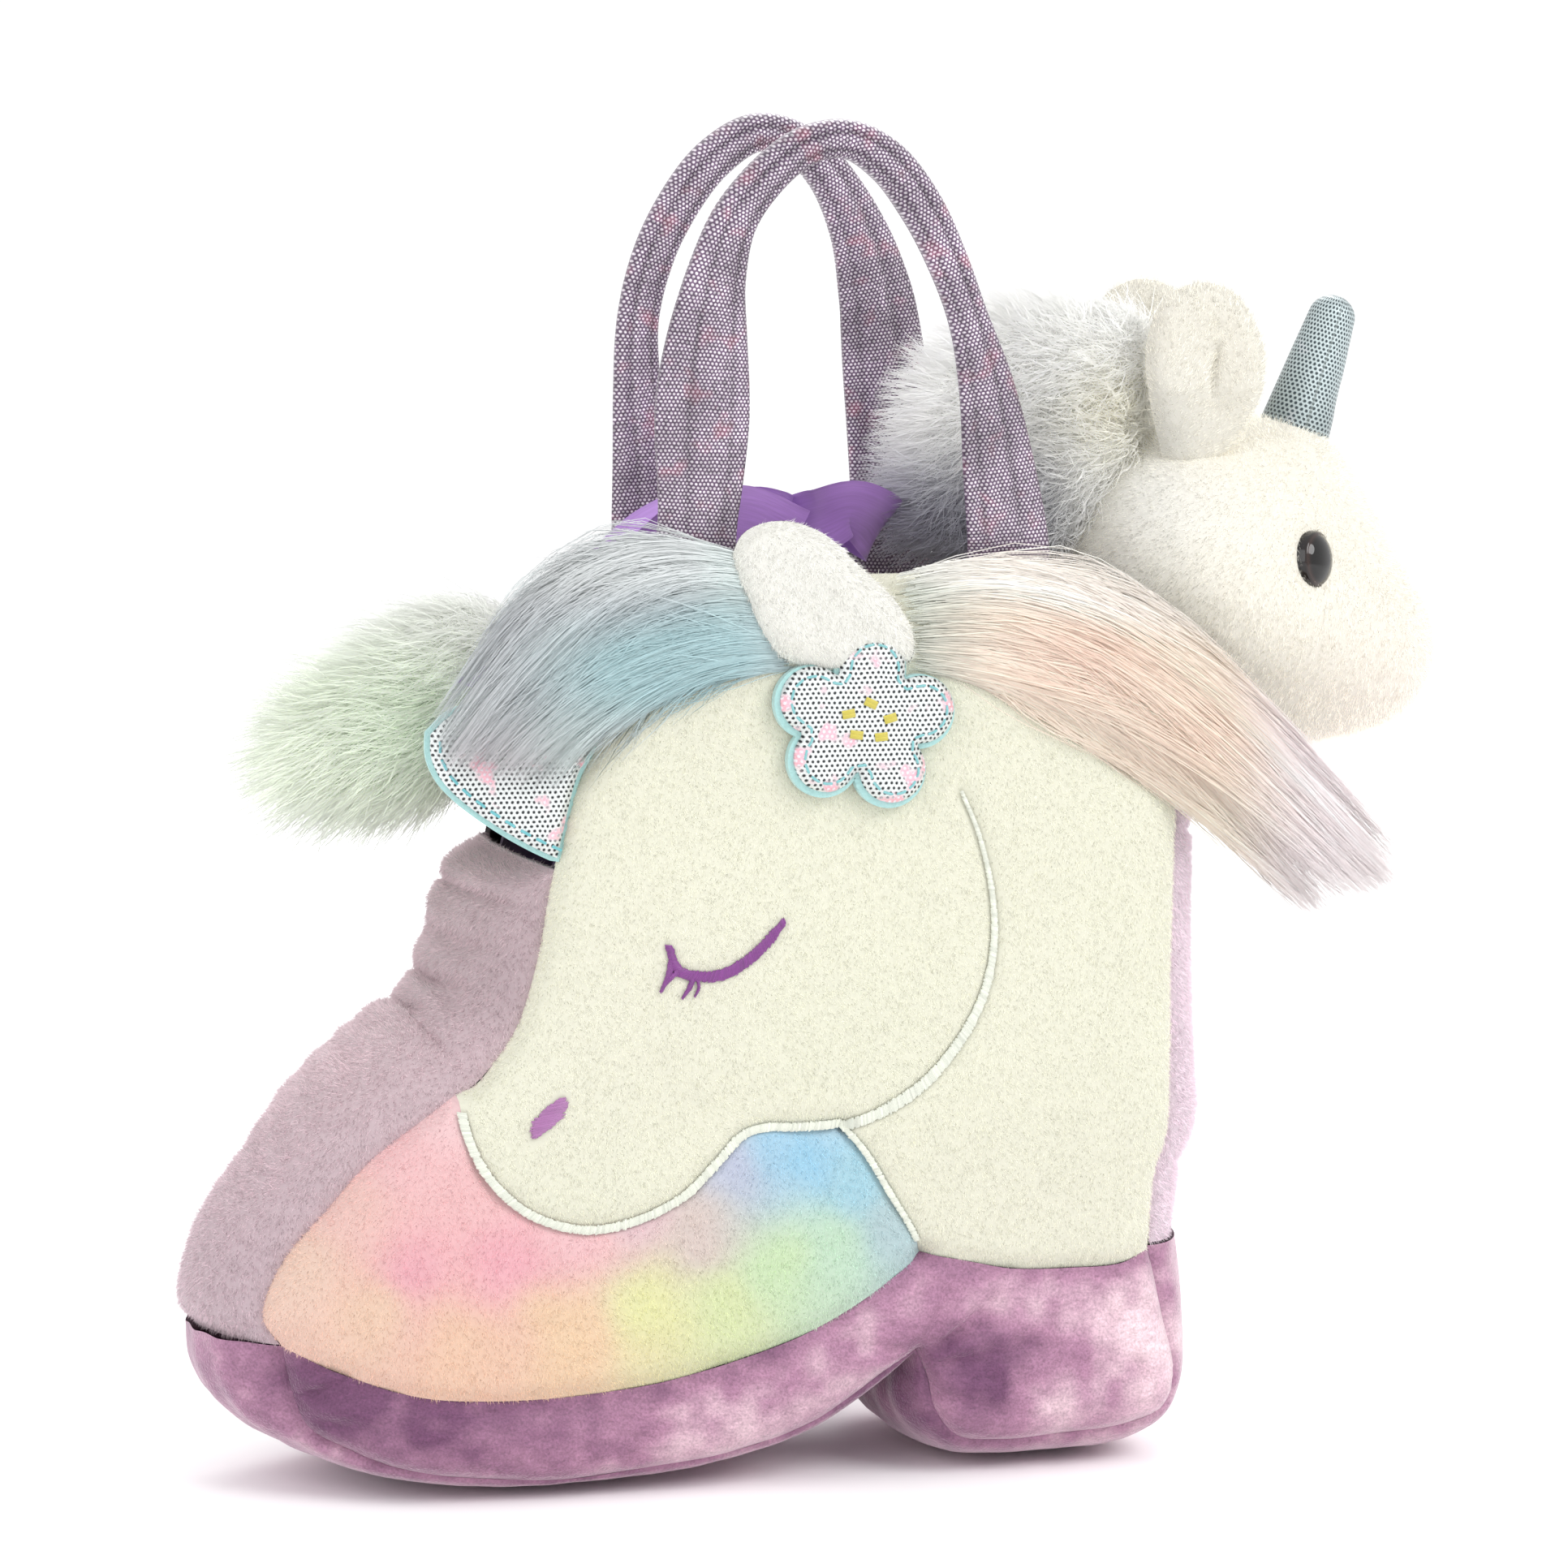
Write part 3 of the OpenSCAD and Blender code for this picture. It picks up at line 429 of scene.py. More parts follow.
def foil(name, ground, dots, patch, patch_dots, pitch, radius, cover, metal_ground, metal_dots, rough=0.32, soft=14.0, mottle=0.0):
    m, nt, b = principled(name, Roughness=rough)
    uv = nt.nodes.new("ShaderNodeUVMap")
    uv.uv_map = "UVMap"
    sp = nt.nodes.new("ShaderNodeSeparateXYZ")
    nt.links.new(uv.outputs[0], sp.inputs[0])
    wob = noise_tex(nt, 0.35, 1, vector=uv.outputs[0])
    u = maths(nt, "ADD", sp.outputs[0], maths(nt, "MULTIPLY", wob, 0.5))
    v = maths(nt, "ADD", sp.outputs[1], maths(nt, "MULTIPLY", wob, 0.4))
    d = hexdots(nt, u, v, pitch, radius, 0.06)
    big = noise_tex(nt, 0.19, 2, 0.55, vector=uv.outputs[0])
    p = maths(nt, "MULTIPLY", maths(nt, "SUBTRACT", big, cover), soft, clamp=True)
    fine = noise_tex(nt, 5.5, 2, 0.7, vector=uv.outputs[0])
    g = mixc(nt, p, ground, patch)
    dd = mixc(nt, p, dots, patch_dots)
    c = mixc(nt, d, g, dd)
    col = node(nt, "ShaderNodeAttribute", attribute_name="Col")
    c = mixc(nt, 1.0, c, col.outputs["Color"], "MULTIPLY")
    # sparkle scales the base colour by fine noise: painted glitter of the foil; with mottle, some dots are painted
    # bright as painted glints and others dark
    sparkle = maths(nt, "MULTIPLY_ADD", fine, 1.1, 0.45)
    if mottle:  # creased foil: some dots flash and others stay dark
        flash = noise_tex(nt, 1.3, 2, 0.6, vector=uv.outputs[0])
        wide = noise_tex(nt, 0.14, 2, 0.5, vector=uv.outputs[0])
        m1 = maths(nt, "MULTIPLY_ADD", flash, 2.6 * mottle, 1 - 1.3 * mottle)
        m2 = maths(nt, "MULTIPLY_ADD", wide, 1.6 * mottle, 1 - 0.8 * mottle)
        sparkle = maths(nt, "MULTIPLY", sparkle, maths(nt, "MULTIPLY", m1, m2))
    s = node(nt, "ShaderNodeVectorMath", operation="SCALE")
    nt.links.new(c, s.inputs[0])
    nt.links.new(sparkle, s.inputs["Scale"])
    nt.links.new(s.outputs[0], b.inputs["Base Color"])
    nt.links.new(maths(nt, "MULTIPLY_ADD", d, metal_dots - metal_ground, metal_ground), b.inputs["Metallic"])
    bump(nt, b, maths(nt, "ADD", fine, maths(nt, "MULTIPLY", d, 0.5)), 0.55, 0.00012)
    return m


M_PLUSH = plush("plush_pile")
M_PILE = plush("short_pile", sheen=0.15, through=True)
M_LONG = plush("long_pile", sheen=0.2, rough=0.62, spread=0.05, grain=900, through=True)


def velvet():
    m, nt, b = principled("crushed_velvet", Roughness=0.5)
    b.inputs["Specular IOR Level"].default_value = 0.25
    b.inputs["Sheen Weight"].default_value = 0.9
    b.inputs["Sheen Roughness"].default_value = 0.32
    b.inputs["Sheen Tint"].default_value = (1.0, 0.86, 0.93, 1)
    col = node(nt, "ShaderNodeAttribute", attribute_name="Col")
    g = nt.nodes.new("ShaderNodeTexCoord")
    a = noise_tex(nt, 420, 4, 0.75, vector=scaled(nt, g.outputs["Object"], 1, 1, 2.2))
    c = noise_tex(nt, 2600, 2, 0.6)
    v = maths(nt, "MULTIPLY_ADD", a, 0.9, 0.58)
    v = maths(nt, "MULTIPLY", v, maths(nt, "MULTIPLY_ADD", c, 1.1, 0.5))
    s = node(nt, "ShaderNodeVectorMath", operation="SCALE")
    nt.links.new(col.outputs["Color"], s.inputs[0])
    nt.links.new(v, s.inputs["Scale"])
    nt.links.new(s.outputs[0], b.inputs["Base Color"])
    bump(nt, b, maths(nt, "ADD", a, c), 0.6, 0.00035)
    return m


M_VELVET = velvet()


def satin(name, rough=0.36, ribs=2.6, sheen=0.2):
    m, nt, b = principled(name, Roughness=rough)
    b.inputs["Specular IOR Level"].default_value = 0.55
    b.inputs["Sheen Weight"].default_value = sheen
    col = node(nt, "ShaderNodeAttribute", attribute_name="Col")
    uv = nt.nodes.new("ShaderNodeUVMap")
    uv.uv_map = "UVMap"
    n = noise_tex(nt, 1.0, 2, 0.6, vector=scaled(nt, uv.outputs[0], 0.15, ribs, 1))
    v = maths(nt, "MULTIPLY_ADD", n, 0.5, 0.75)
    s = node(nt, "ShaderNodeVectorMath", operation="SCALE")
    nt.links.new(col.outputs["Color"], s.inputs[0])
    nt.links.new(v, s.inputs["Scale"])
    nt.links.new(s.outputs[0], b.inputs["Base Color"])
    bump(nt, b, n, 0.25, 0.0002)
    return m


M_SATIN = satin("ribbon_satin")
M_LINING = satin("lining_satin", rough=0.45, ribs=0.8)


def thread(name, rough=0.4):
    m, nt, b = principled(name, Roughness=rough)
    b.inputs["Specular IOR Level"].default_value = 0.6
    b.inputs["Sheen Weight"].default_value = 0.3
    col = node(nt, "ShaderNodeAttribute", attribute_name="Col")
    nt.links.new(col.outputs["Color"], b.inputs["Base Color"])
    return m


M_THREAD = thread("rayon_thread")


def felt():
    m, nt, b = principled("felt", Roughness=0.95)
    b.inputs["Specular IOR Level"].default_value = 0.1
    b.inputs["Sheen Weight"].default_value = 0.4
    col = node(nt, "ShaderNodeAttribute", attribute_name="Col")
    n = noise_tex(nt, 2200, 3, 0.7)
    s = node(nt, "ShaderNodeVectorMath", operation="SCALE")
    nt.links.new(col.outputs["Color"], s.inputs[0])
    nt.links.new(maths(nt, "MULTIPLY_ADD", n, 0.4, 0.8), s.inputs["Scale"])
    nt.links.new(s.outputs[0], b.inputs["Base Color"])
    bump(nt, b, n, 0.6, 0.0003)
    return m


M_FELT = felt()
M_FOIL = foil("silver_foil_cloth", lin(232, 236, 236), lin(24, 30, 34), lin(252, 190, 204), lin(244, 232, 240), 0.82, 0.225, 0.58, 0.4, 0.0)
M_HORNFOIL = foil("blue_foil_cloth", lin(200, 214, 216), lin(40, 58, 64), lin(214, 222, 226), lin(60, 80, 88), 0.76, 0.235, 0.6, 0.45, 0.0)
M_PURPLE = foil("purple_foil_cloth", lin(104, 82, 108), lin(240, 234, 240), lin(150, 92, 112), lin(244, 214, 224), 0.62, 0.185, 0.56, 0.15, 0.4, rough=0.32, soft=5.0, mottle=0.75)

# ---------------------------------------------------------------- the purse's outlines, [x, z]
EDGE_LEFT = spline([[-27, 132.6], [-33, 124], [-36, 115], [-37.9, 109.2], [-40.9, 102.8], [-42.5, 97.5], [-43.4, 92.7], [-44.7, 86.8], [-45.7, 80.9], [-47.1, 74.9], [-49.6, 67.8], [-52.7, 63.2], [-55.7, 59.7], [-58.7, 58.4]])
VAMP_TOP = spline([[-58.7, 58.4], [-64.4, 54.2], [-71.6, 48.6], [-78.9, 40.5], [-84.9, 33.7], [-87.9, 27.8], [-88.3, 24.3], [-85.6, 20.5]])
VAMP_LOW = spline([[-85.6, 20.5], [-79.1, 17.8], [-67.1, 14.5], [-55, 13.2], [-42.8, 13.2], [-30.5, 14.3], [-18.1, 17], [-5.6, 21.2], [4.4, 26.8], [11.6, 32]])
MUZZLE = spline([[-58.7, 58.4], [-57.8, 52.7], [-54.8, 46.6], [-48.7, 40.9], [-40.2, 38.1], [-32.9, 39], [-25.5, 42.3], [-20.5, 46.9], [-16.2, 51.2], [-12.5, 52.2], [-8.7, 52.1], [-1.3, 52.3]])
THROAT = spline([[-1.3, 52.3], [2.5, 47.7], [6.3, 41.4], [9.4, 36.4], [11.6, 32]])
FACE_LOW = spline([[11.6, 32], [17, 30.9], [25.9, 29.1], [34.8, 28.8], [42.5, 29.1], [48, 30.9]])
EDGE_RIGHT = spline([[48, 30.9], [48.4, 38], [49.2, 43.1], [50.8, 47.9], [51.3, 60.3], [51.3, 72.6], [51.7, 89.8], [52, 104.5], [51, 116], [46, 126.5], [36, 132.8]])
TOP = spline([[36, 132.8], [20, 133.4], [0, 133.6], [-14, 133.4], [-27, 132.6]])
JAW = spline([[17.2, 101.3], [20, 94.5], [21.9, 86], [22.2, 78.7], [20.7, 71.4], [17.5, 64.8], [11.9, 58.3], [5.6, 54.3], [-0.9, 51.8]], 0.5)
SOLE = spline([[-85.6, 20.5], [-84, 13.5], [-81.5, 8.3], [-75, 5.2], [-69.4, 3.3], [-61, 1.7], [-52.4, 0.7], [-42.6, 0.1], [-30, 1.2], [-17.9, 2.7], [-5.4, 6.3], [2.2, 10.8], [7.2, 14.2], [11.6, 17.0]])
HEEL = spline([[11.6, 17.0], [13.3, 12.6], [14.6, 7.6], [18, 3.4], [25, 2.4], [32.7, 2.7], [45.6, 3.9], [50.7, 6.2], [52.2, 11.8], [50.4, 20], [48, 30.9]])
FACE = join(EDGE_LEFT, MUZZLE, THROAT, FACE_LOW, EDGE_RIGHT, TOP)
VAMP = join(VAMP_TOP, VAMP_LOW, THROAT[::-1], MUZZLE[::-1])
BAND = join(VAMP_LOW, FACE_LOW, HEEL[::-1], SOLE[::-1])
RIM = join(EDGE_LEFT, VAMP_TOP, SOLE, HEEL, EDGE_RIGHT, TOP)
RIM = np.concatenate([RIM, RIM[:1]])
NOSTRIL = spline([[-43.9, 58.0], [-45.6, 55.6], [-48.0, 52.4]], 0.3)
EYE = spline([[-27.8, 79.9], [-26.3, 76.2], [-23.2, 75.2], [-19.5, 75.4], [-15.8, 77.3], [-12.7, 80], [-10.2, 82.9]], 0.5)


def half(x):
    """Half the purse's depth at the seams: it narrows in the rounded toe."""
    return 24.3 - 9.3 * sstep((-60 - np.asarray(x, float)) / 28)


def plan(x):
    return np.asarray(x, float) + 0.268 * (24.3 - half(x))


def roll(d, r):
    t = 1 - np.clip(d, 0, r) / r
    return np.sqrt(np.maximum(1 - t * t, 0))


def creased(d, deep, wide):
    return deep * np.exp(-(d / wide) ** 2)


def front_depth(P, seed=3, swell=4.7, velvet=False):
    """How far a panel stands out from the purse's middle plane at [x, z]."""
    d = dist(P, RIM)
    y = half(P[:, 0]) + swell * roll(d, 7.5)
    for line, deep, wide in ((MUZZLE, 1.0, 1.5), (THROAT, 0.9, 1.3), (VAMP_LOW, 1.2, 1.6), (FACE_LOW, 1.2, 1.6), (JAW, 0.75, 1.3), (EYE, 0.35, 1.2)):
        y = y - creased(dist(P, line), deep, wide) * np.clip(d / 2.5, 0, 1)
    w = np.clip(d / 6, 0, 1)
    y = y + w * (0.5 * noise(P, 26, seed) + 0.22 * noise(P, 9, seed + 1) + 0.08 * noise(P, 3.4, seed + 2))
    return y


def velvet_folds(P):
    """Puckers of the velvet: at the arch notch, the toe corner and along its lower seam."""
    x, z = P[:, 0], P[:, 1]
    out = np.zeros(len(P))
    for cx, cz, ang, length, deep in ((14.5, 18, 38, 22, 1.6), (15, 15, 12, 20, 1.3), (13, 20, 66, 14, 1.0), (9, 17, 168, 15, 1.1), (15.5, 10, -16, 14, 0.8),
                                      (-83.5, 13.5, 14, 14, 2.2), (-82, 10, -8, 16, 1.2), (46, 12, 118, 16, 1.0), (50, 24, 200, 12, 0.9)):
        a = math.radians(ang)
        u = (x - cx) * math.cos(a) + (z - cz) * math.sin(a)
        v = -(x - cx) * math.sin(a) + (z - cz) * math.cos(a)
        along = np.clip(1 - u / length, 0, 1) * (u > -1.5)
        out -= deep * along * np.exp(-(v / (0.8 + 0.1 * np.clip(u, 0, 20))) ** 2)
        out += 0.55 * deep * along * np.exp(-((v - 2.1) / 1.4) ** 2)
    return out


def panel(outline, s, seed, step=1.0, velvet=False):
    """A panel of the front (s -1) or back (s 1): points, triangles, and its flat [x, z]."""
    P, T = fill(outline, step)
    y = front_depth(P, seed)
    if velvet:
        y = y + velvet_folds(P) * np.clip(dist(P, RIM) / 3, 0, 1) + 0.35 * fbm(P * [1, 1.6], 7, seed)
    V = np.stack([plan(P[:, 0]), s * y, P[:, 1]], 1)
    if s > 0:
        T = T[:, ::-1]
    return V, T, P


# ---------------------------------------------------------------- palettes, rounded
CREAM = lin(249, 248, 229)
LILAC = lin(222, 200, 206)
TIE_DYE = [(-82, 33, 242, 212, 196), (-77, 42, 243, 205, 198), (-67, 50, 248, 200, 202), (-60, 56, 246, 208, 210), (-55, 46, 250, 198, 200), (-66, 33, 254, 186, 196),
           (-52, 34, 254, 186, 196), (-43, 38, 248, 200, 204), (-33, 42, 232, 200, 208), (-43, 23, 246, 214, 182), (-58, 22, 250, 208, 184), (-30, 27, 238, 238, 184), (-23, 37, 226, 210, 204),
           (-18, 47, 200, 206, 226), (-10, 50, 178, 216, 238), (-6, 47, 168, 214, 238), (-1, 54, 196, 224, 240), (2, 44, 178, 218, 232), (7, 37, 190, 212, 216), (-3, 35, 206, 232, 208), (-11, 32, 214, 236, 196),
           (-19, 26, 226, 236, 188), (-24, 52, 232, 226, 232), (-72, 27, 248, 212, 190)]


def blobs(P, table, power=4.0):
    """A smooth wash of a few colours over a flat outline."""
    Q = np.array([[a, b] for a, b, *_ in table], float)
    C = np.array([lin(*t[2:]) for t in table])
    P = P + 1.6 * np.stack([noise(P, 7, 31), noise(P, 7, 37)], 1)
    d = np.sqrt(((P[:, None] - Q[None]) ** 2).sum(-1)) + 2.5
    w = 1 / d ** power
    return (w[..., None] * C[None]).sum(1) / w.sum(1, keepdims=True)


VELVET_LIGHT, VELVET_MID, VELVET_DARK = lin(234, 206, 214), lin(170, 126, 152), lin(110, 70, 102)


def velvet_colour(V, P, tone):
    """Crushed pile: patches that lie one way or the other; tone carries the painted light and shade of the band and the
    sole.
    """
    n = fbm(V * [1, 1, 1.3], 11, 5) * 0.9 + 0.35 * noise(V, 2.6, 8)
    t = np.clip(tone + 0.75 * n, -1, 1)[:, None]
    return np.where(t > 0, mix(VELVET_MID, VELVET_LIGHT, t), mix(VELVET_MID, VELVET_DARK, -t))


def band_light_and_shade(P):
    """Painted light and shade: lighter along the lower roll and the heel's corners as painted highlight, darker beside
    the folds as painted shade, and listed spots of painted light and shade.
    """
    d = dist(P, RIM)
    up = np.minimum(dist(P, VAMP_LOW), dist(P, FACE_LOW))
    t = 0.30 * np.exp(-(d / 4.5) ** 2) - 0.35 * np.exp(-(up / 2.2) ** 2)
    for x, z, r, k in ((-88, 11, 8, -1.0), (50, 14, 10, 0.9), (-45, 5, 12, -0.35), (-76, 11, 7, -0.9), (-66, 8, 9, -0.6), (-81, 14, 4, -1.2), (-58, 6, 10, -0.25), (-20, 10, 16, 0.25), (0, 20, 8, 0.25), (13, 17, 5, -0.6), (22, 14, 9, -0.5), (40, 22, 9, 0.45), (24, 25, 7, 0.4), (44, 10, 7, -0.35), (34, 14, 7, 0.1), (30, 5, 8, 0.2), (-40, 8, 12, 0.05)):
        t = t + k * np.exp(-(((P[:, 0] - x) ** 2 + (P[:, 1] - z) ** 2) / r ** 2))
    return t - 0.12


# ---------------------------------------------------------------- front panels
def plush_panel(name, outline, s, colour, seed, slot, node_name, density=10.0, length=0.68):
    V, T, P = panel(outline, s, seed)
    C = colour(P)
    N = normals(V, T)
    so = Soup().add(V, T, C * 0.97, N)
    cen = P[T].mean(1)
    keep = np.ones(len(T))
    if s < 0 and outline is FACE:
        keep[(dist(cen, JAW) < 0.95) | (dist(cen, EYE) < 1.0) | (dist(cen, NOSTRIL) < 1.5)] = 0
    if s < 0:
        keep[(dist(cen, MUZZLE) < 0.8) | (dist(cen, THROAT) < 0.65)] = 0
    p, n, c = sample(V, T, N, C, density, seed + 50, keep=keep)
    lean = (0.1, 0, -1)
    pile(so, p, n, c, length, 0.13, lean, 0.9, seed, shade=0.03)
    return so.make(name, M_PLUSH, body="bag", replaces=[node_name], slot=slot, fill=0.7)


def cream_colour(P):
    n = noise(P, 22, 70)[:, None]
    return np.clip(CREAM * (1 + 0.012 * n) + np.array([0.0, 0.006, -0.004]) * noise(P, 34, 71)[:, None], 0, 1)


plush_panel("front_face_panel_plush", FACE, -1, cream_colour, 11, "cream_minky", "front_face_panel")
plush_panel("front_vamp_panel_plush", VAMP, -1, lambda P: np.clip(blobs(P, TIE_DYE) * 1.1, 0, 1), 12, "tie_dye_minky", "front_vamp_panel")
plush_panel("back_shaft_panel_plush", FACE, 1, lambda P: np.clip(LILAC * (1 + 0.03 * noise(P, 12, 9)[:, None]), 0, 1), 13, "lilac_minky", "back_shaft_panel", density=5, length=1.0)
plush_panel("back_vamp_panel_plush", VAMP, 1, lambda P: blobs(P, TIE_DYE), 14, "tie_dye_minky", "back_vamp_panel", density=5)


def velvet_panel(name, s, seed, node_name):
    V, T, P = panel(BAND, s, seed, 0.85, velvet=True)
    so = Soup().add(V, T, velvet_colour(V, P, band_light_and_shade(P)))
    return so.make(name, M_VELVET, body="bag", replaces=[node_name], slot="crushed_velvet", fill=0.7)


velvet_panel("front_sole_band_velvet", -1, 15, "front_sole_band")
velvet_panel("back_sole_band_velvet", 1, 16, "back_sole_band")


# ---------------------------------------------------------------- gussets and sole, between the side seams
def strip(path, crown, m=44, puff=0.55, fold=None, seed=1, out=1.0, toe=False):
    """A strip from the front seam to the back seam along path [x, z], bulging by crown(u) at its middle."""
    n = len(path)
    t = unit(np.gradient(path, axis=0))
    nr = np.stack([-t[:, 1], t[:, 0]], 1) * out
    if toe:  # the strip ends square on to the sole
        w = sstep((np.arange(n) - (n - 9)) / 6)[:, None]
        nr = unit(nr * (1 - w) + np.array([-1.0, 0.1]) * w)
    u = np.linspace(0, 1, n)[:, None]
    a = np.linspace(-1, 1, m)[None]
    a = np.sin(a * math.pi / 2 * 0.98) / math.sin(math.pi / 2 * 0.98)
    b = crown(u) * (1 - a ** 2) ** puff
    if fold is not None:
        b = b + fold(u, a, path)
    h = half(path[:, 0])[:, None]
    x0 = plan(path[:, 0])[:, None]
    # the crown's own set-back from the view carries on across the strip
    V = np.stack([x0 + b * nr[:, 0:1], np.broadcast_to(a * h, b.shape) , path[:, 1:2] + b * nr[:, 1:2]], -1)
    return V.reshape(-1, 3), n, m, u, a


def ramp(xs, ys):
    return lambda u: np.interp(u, xs, ys)


INSTEP = spline([[-43.9, 90.3], [-44.7, 86.8], [-45.7, 80.9], [-47.1, 74.9], [-49.6, 67.8], [-52.7, 63.2], [-55.7, 59.9], [-58.9, 58], [-64.4, 54.2], [-71.6, 48.6], [-78.9, 40.5], [-84.9, 33.7], [-87.9, 27.8], [-88.3, 24.3], [-85.9, 20.7]], 1.1)


def instep_folds(u, a, path):
    z, x = path[:, 1:2], path[:, 0:1]
    w = (1 - a ** 2) ** 0.5
    out = -1.5 * np.exp(-((z - 85.0) / 0.7) ** 2) * w
    out = out + 1.0 * np.exp(-((z - 87.6) / 1.5) ** 2) * w
    for c, k, deep, sl in ((80.5, 1.3, 0.9, 1.5), (76.6, 1.5, -1.1, -2.0), (72.5, 1.4, 0.9, 1.0), (69, 1.2, -1.4, -2.5), (65.2, 1.5, 0.8, 2.0), (61.4, 1.3, -1.2, -3.0), (58, 1.5, 0.6, 1.0)):
        out = out + deep * np.exp(-((z - c - sl * a - 0.8 * np.sin(5 * a + c)) / k) ** 2) * w * (0.6 + 0.4 * np.cos(3 * a + c))
    p = np.stack([np.broadcast_to(x, out.shape), np.broadcast_to(a * 24, out.shape), np.broadcast_to(z, out.shape)], -1)
    return out + w * (0.5 * fbm(p, 9, 21) + 0.28 * np.sin(z * 1.5 + 4 * noise(p, 14, 4)) * sstep((70 - z) / 12) * sstep((z - 26) / 10))


def plush_strip(name, path, crown, folds, colour, seed, node_name, out=1.0, m=44, density=8.0, length=0.95, toe=False):
    V, n, mm, u, a = strip(path, crown, m, fold=folds, seed=seed, out=out, toe=toe)
    T = grid(n, mm)
    N = normals(V, T)
    mid = V.mean(0)
    if ((V - [mid[0] + 14 * (1 if out * 0 + (path[0, 0] < 0) else -1), 0, 60]) * N).sum(1).mean() < 0:
        T = T[:, ::-1]
        N = -N
    C = colour(V, N)
    so = Soup().add(V, T, C * 0.97, N)
    # the turned-in edge at the top
    top = V[:mm]
    inn = top - np.array([[0, 0, 0]])
    rings = [top]
    side = np.array([1.0 if path[0, 0] < 0 or path[-1, 0] < 0 else -1.0, 0, 0])
    for k in (1, 2, 3, 4, 5):
        t = k / 5 * math.pi / 2
        q = top + side * (1.5 * math.sin(t)) * 1.0 + np.array([0, 0, 0.9 * math.sin(2 * t)])
        rings.append(q - np.array([0, 0, 1]) * (2.6 * max(k - 2, 0)))
    R = np.concatenate(rings)
    RT = grid(len(rings), mm)
    RN = normals(R, RT)
    if (RN[:mm, 2]).mean() < 0:
        RT, RN = RT[:, ::-1], -RN
    RC = np.broadcast_to(C[:mm], (len(rings), mm, 3)).reshape(-1, 3)
    so.add(R, RT, RC * 0.95, RN)
    p, nn, c = sample(V, T, N, C, density, seed + 60)
    pile(so, p, nn, c, length, 0.18, (0.1, 0, -1), 0.8, seed, shade=0.06)
    p, nn, c = sample(R, RT, RN, RC, density, seed + 61)
    pile(so, p, nn, c, length * 0.8, 0.18, (0.1, 0, -1), 0.7, seed + 1, shade=0.06)
    return so.make(name, M_PLUSH, body="bag", replaces=[node_name], slot="lilac_minky", fill=0.6)


def lilac_colour(V, N):
    # painted shade: darker on the instep's upper part and darker towards the bottom; fbm and noise are the cloth's own
    # random tone
    n = 0.05 * fbm(V * [1, 0.6, 1.4], 5, 41) - 0.14 * sstep((V[:, 2] - 62) / 12) * sstep((20 + V[:, 0] * -1 - 40) / 4) + 0.03 * noise(V, 16, 42)
    g = np.clip((60 - V[:, 2]) / 60, 0, 1)[:, None]
    return np.clip(mix(LILAC, lin(204, 184, 196), g * 0.6) * (1 + n[:, None]), 0, 1)


plush_strip("instep_gusset_plush", INSTEP, lambda u: np.interp(u, [0, 0.012, 0.05, 0.12, 0.45, 0.8, 1], [3.6, 5.5, 9.4, 10.5, 11.2, 10.6, 9.6]), instep_folds, lilac_colour, 21, "instep_gusset", out=-1.0, m=56, toe=True)
HEEL_UP = spline([[48.2, 31.4], [48.4, 38], [49.2, 43.1], [50.8, 47.9], [51.3, 60.3], [51.3, 72.6], [51.7, 89.8], [51.9, 99]], 1.1)[::-1]


def heel_folds(u, a, path):
    z = path[:, 1:2]
    w = (1 - a ** 2) ** 0.5
    p = np.stack([np.broadcast_to(z * 0, (len(path), a.shape[1])), np.broadcast_to(a * 24, (len(path), a.shape[1])), np.broadcast_to(z, (len(path), a.shape[1]))], -1)
    return w * (0.7 * fbm(p, 13, 61) - 1.4 * np.exp(-((z - 93.5) / 0.8) ** 2) - 1.3 * np.exp(-((z - 46 - 2 * a) / 2.2) ** 2))


# the heel strip is the lilac cloth mixed towards pale pink: painted light on the side that faces the lamps
plush_strip("heel_gusset_plush", HEEL_UP, lambda u: np.interp(u, [0, 0.03, 0.1, 0.5, 0.7, 1], [5.6, 6.6, 7.2, 8.0, 9.6, 8.4]), heel_folds, lambda V, N: np.clip(mix(lilac_colour(V, N), lin(246, 228, 240), 0.7), 0, 1), 22, "heel_gusset", out=1.0, m=40)


